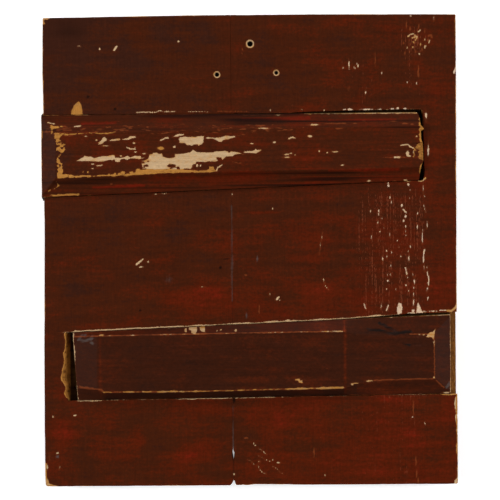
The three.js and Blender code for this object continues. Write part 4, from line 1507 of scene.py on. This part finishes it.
UPPER_STROKES = [
    (0.6, (-103.5, 83.6), (-98, 84.2)), (0.5, (-92.5, 78.2), (-90, 77), (-86, 76.8)),
    (0.5, (-67, 83.2), (-63.5, 85), (-61, 84.8)), (0.5, (-25, 60), (-24, 62.5), (-21, 64.3)),
    (0.5, (29.5, 84), (32.5, 85), (34.5, 84.2)), (0.45, (-115, 64.2), (-111, 64.8)),
    (0.6, (109, 69.4), (113, 69.6)), (0.5, (-132, 94), (-127.5, 94.6)), (0.5, (-152, 97.3), (-147.5, 96.3)),
    (0.5, (114, 78.3), (119.5, 79), (120.5, 77.5), (124, 76), (125, 74.5)),
    (0.4, (123.3, 69.5), (124, 71), (123.5, 73.5), (124.3, 75.5)),
]
DARK_ISLANDS = [
    (-77.7, 64.5, 1.9, 1.0), (-79.8, 66.7, 1.3, 0.5), (-79.5, 63.1, 1.0, 0.5), (-76.3, 67.8, 0.9, 0.5),
    (-58.5, 63.8, 3.2, 1.6), (-53.7, 62.5, 1.4, 1.1), (-36.5, 63.8, 6.4, 2.3),
]
ISLAND_SPECKS = [(-39.5, 64, 0.8, 1.0), (-37, 64, 0.6, 0.8)]  # bare again inside the largest island

# %% Golden wear round it
GOLD_STRIP = (
    (-95, 56.5), (-90, 58.5), (-86, 59.5), (-85.8, 61.3), (-83.5, 62), (-82, 61), (-78, 61.5), (-60, 61.5),
    (-45, 61), (-43, 60.3), (-33, 60.3), (-30.5, 61.3), (-30, 63.5), (-28.5, 63), (-27.5, 63.3),
    (-26.5, 61.5), (-25.5, 59.3), (-30, 59), (-60, 58.7), (-75, 57.9), (-88, 57),
)
GOLD_BAND = (
    (-147, 88), (-146, 75), (-145.2, 68), (-145, 60), (-145.3, 55), (-130, 55.3), (-115, 56.3), (-115, 57),
    (-130, 57.5), (-140.5, 58.5), (-140.5, 60), (-141, 66), (-143.5, 70), (-141, 73), (-138.5, 77),
    (-138, 81), (-143, 85), (-140, 88.4), (-147, 88.7),
)
GOLD_OUTLINES = [
    GOLD_STRIP, GOLD_BAND,
    ((-150, 95.5), (-147, 94.5), (-141, 95), (-140, 93.8), (-143.5, 92.8), (-147, 92), (-149, 91),
     (-149.5, 89), (-147, 88.6), (-148, 90.5), (-150.5, 92)),
    ((124.5, 77.5), (125.5, 75.5), (127, 74), (127.8, 72), (127, 69.5), (128, 67.5), (134, 66), (134, 80.5),
     (128.5, 80.5)),
    ((134, 65.5), (130.5, 65.5), (128, 62), (127.6, 59), (129, 55), (134, 54)),
    ((128.3, 80), (127.5, 84), (128.2, 88), (127.7, 92), (127.9, 99), (134, 100), (134, 80)),
]
GOLD_SPOTS = [
    (-125.5, 60, 0.7, 0.6), (-122, 59.5, 0.8, 0.7), (-106, 57.3, 1.2, 0.9), (-103, 57, 2, 1),
    (-101.5, 58.5, 0.8, 0.7), (-98, 58, 1, 1), (-95.3, 59, 1.7, 0.8), (-92.5, 57, 1.5, 0.7),
    (-89, 59.3, 1.6, 0.7), (-67, 77.3, 2.6, 1.0),
]
GOLD_STROKES = [
    (0.75, (-147, 88.7), (-140, 88.3), (-137, 88.2)),
    (0.4, (-137, 88.2), (-132, 88), (-128, 88.6), (-120, 88.8), (-108, 88.7), (-101, 89.8)),
    (0.4, (-130, 56.3), (-100, 57.2), (-85, 58)),
    (0.6, (-145.5, 52.5), (-144.8, 50.5), (-144, 50), (-146, 48.5), (-149, 47), (-152, 46)),
    (0.75, (-151, 42.4), (-129.5, 43.1)), (0.5, (42, 103.1), (130, 103.2)), (0.4, (-157, 60), (-156.9, 92)),
]

# %% Thin paint, a dark wedge and warm grooves
UPPER_FAINT = [
    (8, 94, 5, 0.7), (17.5, 94.3, 1.2, 0.5), (79, 95, 2.2, 0.5), (67, 91.3, 3.7, 0.7), (86.5, 97, 1.5, 0.5),
    (108.5, 96.6, 3, 0.5), (117.5, 94.7, 3, 0.8), (122.5, 94.2, 1.3, 0.5), (-104.5, 50.9, 1.2, 0.7),
    (110, 51.5, 2.5, 0.5),
]
UPPER_FAINT_STROKES = [
    (0.4, (-13, 66.6), (-6.5, 65.5)), (0.5, (-141.5, 94.5), (-137, 93.7)),
    (0.5, (-140, 91.3), (-134, 91.6)), (0.5, (-139, 87), (-133, 87.3)), (0.4, (55, 95.2), (73, 95.2)),
    (0.4, (102, 69.2), (117, 69.5)), (0.4, (-5, 102.1), (17, 102.1)),
]
WEDGE = [(0.8, (-148, 90.6), (-140, 90.8))]
WARM_GROOVES = [
    (0.9, (-5, 99), (45, 99.5)), (0.6, (-126, 96.4), (-101, 96.8)), (0.5, (60, 97.5), (110, 98)),
    (0.6, (60, 59.5), (112, 60.6)), (0.7, (-118, 48), (-80, 49.6)),
]


# %% Bare wood on the upper batten
def upper_pale(x, y):
    """Depth in the fresh losses, with the islands of paint left in them."""
    pale = marks(x, y, UPPER_SPOTS, UPPER_STROKES, UPPER_OUTLINES, 0.25, 131)
    islands = marks(x, y, DARK_ISLANDS, rough=0.9, seed=134)
    return np.maximum(np.minimum(pale, -islands), marks(x, y, ISLAND_SPECKS))


def upper_golden(x, y):
    """Depth in the old losses, speckled on the bevel and at both ends, where hills eat into it."""
    gold = marks(x, y, GOLD_SPOTS, GOLD_STROKES, GOLD_OUTLINES, 0.45, 137)
    gold = np.where(x < -136, np.minimum(gold, 1.1), gold)
    bevel = (x < -136) * ramp(y, 88, 84) * (0.1 + 1.4 * one_sided(hills(x, y, 1.7, 1.5, 147)))
    middle = (x < -137) * one_sided(1 - np.abs(y - 77) / 9) * (0.7 + 1.3 * ragged(x, y, 2.4, 1.5, 138))
    left = 1.2 * (x < -115) * (y > 45) * one_sided(ragged(x, y, 2.2, 1.3, 140))
    right = 1.5 * (x > 122) * one_sided(ragged(x, y, 4, 1.2, 145))
    return gold - bevel - middle - left - right


def upper_tone(x, y, pale, gold):
    """Tone of the wood, as on the planks: chalky in fresh losses, golden in old ones, brown where torn."""
    tone = np.where(pale > gold, 0.15, 0.85) + 0.35 * ragged(x, y, 9, 3, 136) + 0.25 * ramp(pale, 1, 0)
    tone = np.where(marks(x, y, outlines=TORN_OUT, seed=260) > -0.5, 1.5, tone)
    return np.where((y > upper_top(x) - 1) & (x > 20), 0.5, tone)


# %% Dirt, painted shade and colour on the upper batten
def upper_dirt_and_shade(x, y, from_edge):
    """Darker in the valleys beside the ridge lines and on the head side's outer band, streaks of dirt on the
    facets, and dirt and painted shade along the edges, where the batten meets the board.
    """
    ridge_in, foot_in = at_station(x, UPPER_STATIONS, 1, 3)
    grime = 0.15 * np.exp(-np.abs(y - upper_top(x) + ridge_in) / 1.6)
    grime += 0.12 * np.exp(-np.abs(y - upper_bottom(x) - foot_in) / 1.6)
    facets = (y > upper_top(x) - 13) | (y < upper_bottom(x) + 12)
    grime += 0.9 * facets * one_sided(hills(x, y, 60, 1.7, 143) - 0.1) + 0.17 * (y > upper_top(x) - 7)
    # dirt and painted shade along the edges, left off along the head edge on the right
    grime += np.exp(-from_edge / 0.8) * np.where((y > 80) & (x > 38), 0, 0.35)
    return grime + 0.6 * np.clip(marks(x, y, strokes=WEDGE), 0, 1)


def upper_warmth(x, y):
    """Redness of the paint: brighter in the grooves and in streaks on the foot side's facet."""
    warm = 0.6 + 0.9 * np.clip(marks(x, y, strokes=WARM_GROOVES, seed=141) + 0.8, 0, 1)
    return warm + 0.5 * one_sided(hills(x, y, 50, 2.2, 142)) * (np.abs(y - upper_bottom(x) - 6) < 7)


def upper_thin(x, y):
    """Depth in places where the paint is thin: set marks, and flecks along the head side."""
    faint = marks(x, y, UPPER_FAINT, UPPER_FAINT_STROKES, seed=139) - 0.7 * one_sided(ragged(x, y, 4, 2, 146))
    flecks = 1.5 * ragged(x, y, 4.5, 0.9, 144) - 0.4 - 0.1 * np.abs(y - 91.5) - 0.02 * one_sided(x - 20)
    return np.maximum(faint, flecks)


# %% Mark the upper batten
# the dovetailed sides and the sole lie in the channels, so the second number darkens them as painted shade
RAW_TONE, HIDDEN_SHADE = 1.3, 0.85  # of the dovetailed sides and the sole


def mark_upper(mesh):
    """Works out every stored value on the upper batten's points, painted shade and sheen among them."""
    x, y, z = read_rows(mesh.vertices, "co") / MM
    above, below = z > BACK + 0.3, (z < BACK + 0.1) & (x > LEFT)
    from_end, from_edge = x - proud_end(y), np.minimum(upper_top(x) - y, y - upper_bottom(x))
    rubbed = 0.1 + 0.5 * ragged(x, y, 9, 9, 135) - np.minimum(from_edge + 0.4 * (x > -120), from_end)
    pale, gold = upper_pale(x, y), upper_golden(x, y)
    bare = np.where(above, np.maximum.reduce([pale, gold, rubbed]), np.where(below, 3, -1.2))
    # the bevel at the proud end gets less red and a painted bluish sheen, and a faint painted sheen lies on
    # the whole back
    bevel = np.clip(2 * (from_edge / 13 - (x - LEFT) / 11) + 0.3, 0, 1)
    keep(
        mesh, bare=np.clip(bare, OUTSIDE, -OUTSIDE),
        gold=np.where(above, upper_tone(x, y, pale, gold), RAW_TONE),
        faint=np.where(above, upper_thin(x, y), OUTSIDE),
        grime=np.where(above, upper_dirt_and_shade(x, y, from_edge), HIDDEN_SHADE),
        red=upper_warmth(x, y) - 0.5 * bevel, crazed=0 * x, scuff=np.where(above, 0.05 + 0.12 * bevel, 0),
    )


mark_upper(upper_mesh)
add_piece(upper_mesh, "upper_batten", "painted_batten", upper_paint)

# %% [markdown]
# ## Wear on the lower batten
# Its paint is darker and has more shine. Only the arrises round the flat top are worn, brightest at the foot
# side, and the mitred end shows the lines where two facets meet.

# %% Arrises of the lower batten
# how far either side of its line an arris is bare, as x and mm, below zero where paint holds
foot_line_wear = traced(
    (-134, -1), (-113, -0.6), (-111, 0.3), (-95, 0.3), (-92, 0.75), (-88, 0.3), (-71, 0.35), (-69, 0.75),
    (-60, 0.75), (-58, 0.8), (-55, 0.4), (-43, 0.4), (-42, 0.7), (-39, 0.7), (-37, 0.3), (26, 0.35),
    (28, 0.75), (40, 0.75), (43, 0.45), (51, 0.5), (52.5, 1.1), (57, 0.95), (69.5, 0.9), (70.5, -0.6),
    (151, -1),
)
head_line_wear = traced(
    (-134, -0.9), (-113, 0.0), (-75, -0.1), (-60, 0.0), (-20, -0.1), (55, 0.0), (58, 0.45), (69, 0.45),
    (71, -0.6), (151, -0.8),
)

# %% Places on the lower batten
LOWER_PALE_STROKES = [
    (0.35, (-134, -61), (-134, -67), (-133.5, -72), (-133, -76), (-133.2, -85), (-133, -93), (-132.5, -98)),
    (0.65, (-132.3, -100), (-131.5, -110), (-131, -111.5)),
]
LOWER_PALE_SPOTS = [
    (7, -111, 1, 0.6), (13, -110.7, 1.6, 0.5), (128, -109.6, 1.5, 0.5), (147.5, -108.6, 2.5, 0.7),
    (-134, -60.6, 1.2, 0.8),
]
LOWER_GOLD_SPOTS = [
    (76.5, -101.2, 1.2, 0.8), (79, -100.5, 2, 0.5), (89.5, -99, 2.6, 0.7), (137.8, -96.7, 0.7, 0.9),
    (-112.5, -63.3, 1.8, 0.6), (-11.2, -60.3, 0.9, 1), (-49, -60, 0.9, 1.5), (-25.5, -60.5, 0.5, 0.8),
    (-22.5, -59.8, 0.7, 0.6), (130.3, -64.3, 0.9, 0.5), (127, -64.2, 0.7, 0.4), (138.2, -70.5, 0.35, 2.0),
]
LOWER_GOLD_OUTLINES = [
    *CHIPPED[1:],
    ((133.5, -64), (135, -62.8), (137, -62.5), (138.2, -61.5), (139.5, -60), (139, -61.5), (138.5, -64.5),
     (138, -68), (136.5, -67), (134.5, -66.5), (132, -66)),
    ((33, -96.8), (35, -97), (36.5, -96.7), (37.5, -98.3), (39, -98), (39, -100), (36.5, -99.7),
     (35, -98.3), (33, -98)),
]
LOWER_FAINT_STROKES = [
    (0.5, (138.3, -66), (138.3, -96)), (0.5, (93, -98.4), (115, -98), (137, -97.6)),
    (0.5, (139.5, -99), (145.5, -104.5)), (0.5, (120, -63.8), (133, -63.8)),
    (0.5, (-130, -102), (-117, -103.5), (-113, -104), (-111.5, -105.5)),
    (0.4, (-100, -111.8), (100, -109.9)),
]
# painted sheen on the facets of the thin end and on the right bevel
LOWER_SHEEN_STROKES = [
    (0.8, (-130, -66.5), (-126, -68), (-121, -66.5), (-119.5, -64.8)),
    (0.7, (-129, -65), (-127, -63), (-125, -63.5)), (0.8, (147.5, -104.5), (150, -101.5)),
]
LOWER_SHEEN_SPOTS = [(-119.8, -69, 1.2, 0.8)]
SMOKY_STROKES = [
    (0.9, (88.5, -60.2), (98, -61.2), (106.7, -63.5), (114.3, -62.5), (120.3, -61.4)),
    (0.8, (97, -56), (103.5, -58.6), (109.5, -62)), (0.5, (115, -71), (120, -72)),
]


# %% Bare wood on the lower batten
def lower_lines(x):
    """The arrises of the flat top in plan: at the head side and at the foot side."""
    head_in, foot_in = at_station(x, LOWER_STATIONS, 2, 4)
    return lower_top(x) - head_in, lower_bottom(x) + foot_in


def lower_losses(x, y, wander):
    """Depth in each kind of bare wood by itself: both arrises, fresh losses, old ones and the rubbed rim."""
    head_line, foot_line = lower_lines(x)
    at = SimpleNamespace()
    at.foot = 0.75 * foot_line_wear(x) + 0.5 * ragged(x, y, 3, 2, 160) - np.abs(y - foot_line)
    at.head = head_line_wear(x) + wander - np.abs(y - head_line)
    at.pale = marks(x, y, LOWER_PALE_SPOTS, LOWER_PALE_STROKES, seed=152)
    at.gold = marks(x, y, LOWER_GOLD_SPOTS, (), LOWER_GOLD_OUTLINES, 0.45, 153)
    at.gold -= 0.9 * one_sided(ragged(x, y, 2, 1.4, 159))
    from_end = np.minimum(x - askew_end(y), mitred_end(y) - x)
    at.from_edge = np.minimum(lower_top(x) - y, y - lower_bottom(x))
    at.rubbed = wander - 0.1 + 0.35 * (x > 105) * (y > foot_line) - np.minimum(at.from_edge, from_end)
    return at


def lower_tone(x, y, at):
    """Tone of the wood, as on the planks: chalky in fresh losses, golden along the foot side's arris."""
    tone = np.where(at.pale > np.maximum(at.foot, at.gold), 0.1, 0.55) + 0.3 * ragged(x, y, 7, 3, 154)
    return np.where(at.foot > -0.6, 0.75, tone)


def lower_thin(x, y, wander):
    """Depth in places where the paint is thin: set marks, and a band either side of each arris."""
    head_line, foot_line = lower_lines(x)
    faint = marks(x, y, (), LOWER_FAINT_STROKES, rough=0.5, seed=155)
    width = np.where(x < 71, 0.5, -0.5) + wander
    return np.maximum.reduce([faint, width - np.abs(y - foot_line), width - 0.1 - np.abs(y - head_line)])


# %% Dirt, painted shade, colour and sheen on the lower batten
def smoke(x, y):
    """A few drifts of soot that fray out along the grain."""
    drifts = np.clip(marks(x, y, strokes=SMOKY_STROKES, rough=0.8, seed=161) + 0.9, 0, 1)
    return drifts * (0.8 + 0.9 * ragged(x, y, 12, 1.0, 162))


def lower_dirt_and_shade(x, y, from_edge):
    """Dirt and painted shade along the edges, painted shade on the foot side's facet, a darker head side's
    facet, and the soot.
    """
    head_line, foot_line = lower_lines(x)
    # painted shade on the foot side's facet, which faces away from the head lamp
    foot_facet = 0.5 * (y < foot_line - 0.9) * ramp(x, 75, 69) * ramp(x, -112, -109)
    head_facet = 0.27 * (y > head_line + 0.5) * (x < 71)
    # dirt and painted shade along the edges, where the batten meets the board
    return 0.4 * np.exp(-from_edge / 0.8) + foot_facet + head_facet + 0.9 * smoke(x, y)


def lower_red(x, y):
    """Redness of the paint, with two bright lines across, where facets meet."""
    head_line, foot_line = lower_lines(x)
    lines = 0.6 * near(x, y, -113.5, -85, 1.2, 30) + 0.9 * near(x, y, 71, -80, 1.3, 40)
    return 0.45 + lines + 0.5 * (y > head_line) * (x < 71) + 0.3 * (x > 80) * (y < foot_line)


def lower_sheen_and_scuffs(x, y):
    """Painted bluish sheen: set marks at the thin end and on the right bevel, a sheen on the soot, and a
    breath on the thin end; and faint clouds all over.
    """
    scuff = np.clip(marks(x, y, LOWER_SHEEN_SPOTS, LOWER_SHEEN_STROKES, rough=0.8, seed=156) + 0.9, 0, 1)
    scuff *= 0.7 + 0.6 * ragged(x, y, 4, 1.5, 158)
    clouds = 0.15 * one_sided(hills(x, y, 18, 14, 157))
    return np.maximum.reduce([scuff, 0.6 * smoke(x, y), 0.03 * ramp(x, -109, -117), clouds])


# %% Mark the lower batten
def mark_lower(mesh):
    """Works out every stored value on the lower batten's points, painted shade and sheen among them."""
    x, y, z = read_rows(mesh.vertices, "co") / MM
    above, below = z > BACK + 0.3, z < BACK + 0.1
    wander = 0.35 * ragged(x, y, 5, 3, 151)
    at = lower_losses(x, y, wander)
    bare = np.maximum.reduce([at.foot, at.head, at.gold, at.pale, at.rubbed])
    keep(
        mesh, bare=np.clip(np.where(above, bare, np.where(below, 3, 0)), OUTSIDE, -OUTSIDE),
        gold=np.where(above, lower_tone(x, y, at), RAW_TONE),
        faint=np.where(above, lower_thin(x, y, wander), OUTSIDE),
        grime=np.where(above, lower_dirt_and_shade(x, y, at.from_edge), HIDDEN_SHADE), red=lower_red(x, y),
        crazed=0 * x, scuff=np.where(above, lower_sheen_and_scuffs(x, y), 0),
    )


mark_lower(lower_mesh)
add_piece(lower_mesh, "lower_batten", "painted_batten", lower_paint)

# %% [markdown]
# ## Floor, light and camera
# The panel lies on a plain white floor. The paint is dark and slightly glossy, so a light straight above
# would veil it: soft lamps stand on both sides instead, halfway up, and a low one beyond the head draws the
# facets of the battens that face it. The camera hangs over the middle, turned as the photo was.

# %% Floor
FLOOR_HALF = 6.0  # metres
FLOOR_DROP = 0.0004  # metres below the panel, so that the two never share a plane
FLOOR_SHINE = {
    "Base Color": (0.93, 0.93, 0.93, 1), "Roughness": 0.9, "Specular IOR Level": 0.1,
    "Emission Color": (1, 1, 1, 1), "Emission Strength": 0.45,
}


def make_floor():
    """A white square that glows a little, so that it stays white beside the panel as in the photo."""
    mesh = bpy.data.meshes.new("floor")
    corners = [(-1, -1), (1, -1), (1, 1), (-1, 1)]
    mesh.from_pydata([(x * FLOOR_HALF, y * FLOOR_HALF, -FLOOR_DROP) for x, y in corners], [], [(0, 1, 2, 3)])
    floor = bpy.data.objects.new("floor", mesh)
    bpy.context.collection.objects.link(floor)
    material, tree = new_material("white_floor")
    fill(tree.nodes["Principled BSDF"], FLOOR_SHINE)
    mesh.materials.append(material)
    print(f"floor {2 * FLOOR_HALF:.0f} m wide")


make_floor()

# %% Lamps
LAMPS = {  # place, then width, height in metres, and watts
    "left_lamp": ((-2.2, 0.1, 1.95), 1.4, 1.1, 56),
    "right_lamp": ((2.2, 0.1, 1.95), 1.4, 1.1, 52),
    "head_lamp": ((0.0, 2.6, 1.3), 2.0, 0.9, 38),
    "foot_lamp": ((0.0, -2.6, 1.3), 2.0, 0.9, 7),
}


def add_lamp(name, place, width, height, watts):
    """A soft rectangular lamp that faces the middle of the panel."""
    data = bpy.data.lights.new(name, "AREA")
    data.shape, data.size, data.size_y, data.energy = "RECTANGLE", width, height, watts
    lamp = bpy.data.objects.new(name, data)
    lamp.location = place
    lamp.rotation_euler = (-Vector(place)).to_track_quat("-Z", "Y").to_euler()
    bpy.context.collection.objects.link(lamp)
    print(f"{name}: {watts} W, {Vector(place).length:.1f} m away")


for lamp_name, lamp_values in LAMPS.items():
    add_lamp(lamp_name, *lamp_values)

# %% The room around
# bright where the camera looks past the floor, nearly dark for everything else
SEEN, FELT = (0.9, 0.9, 0.9, 1), (0.02, 0.02, 0.02, 1)
world = bpy.data.worlds.new("studio")
world.use_nodes = True
bpy.context.scene.world = world
sight = node(world.node_tree, "ShaderNodeLightPath", {}, {}, "Is Camera Ray")
fill(world.node_tree.nodes["Background"], {"Color": blend(world.node_tree, sight, FELT, SEEN)})
bpy.context.scene.view_settings.view_transform = "Standard"

# %% Camera
LENS, SENSOR = 120.0, 36.0
PHOTO_WIDTH_PX, MM_PER_PX = 500, 0.7564  # at the back of the board
PHOTO_TURN = math.radians(0.37)
CENTRE_X, CENTRE_Y = -0.15, 0.23  # where the photo's middle falls on the board

distance = PHOTO_WIDTH_PX * MM_PER_PX / 2 * LENS / (SENSOR / 2)
camera_data = bpy.data.cameras.new("camera")
camera_data.lens, camera_data.sensor_width = LENS, SENSOR
camera_data.clip_end = 50
camera = bpy.data.objects.new("camera", camera_data)
camera.location = (CENTRE_X * MM, CENTRE_Y * MM, (BACK + distance) * MM)
camera.rotation_euler = (0, 0, -PHOTO_TURN)
bpy.context.collection.objects.link(camera)
bpy.context.scene.camera = camera
print(f"camera {distance:.0f} mm above the back")
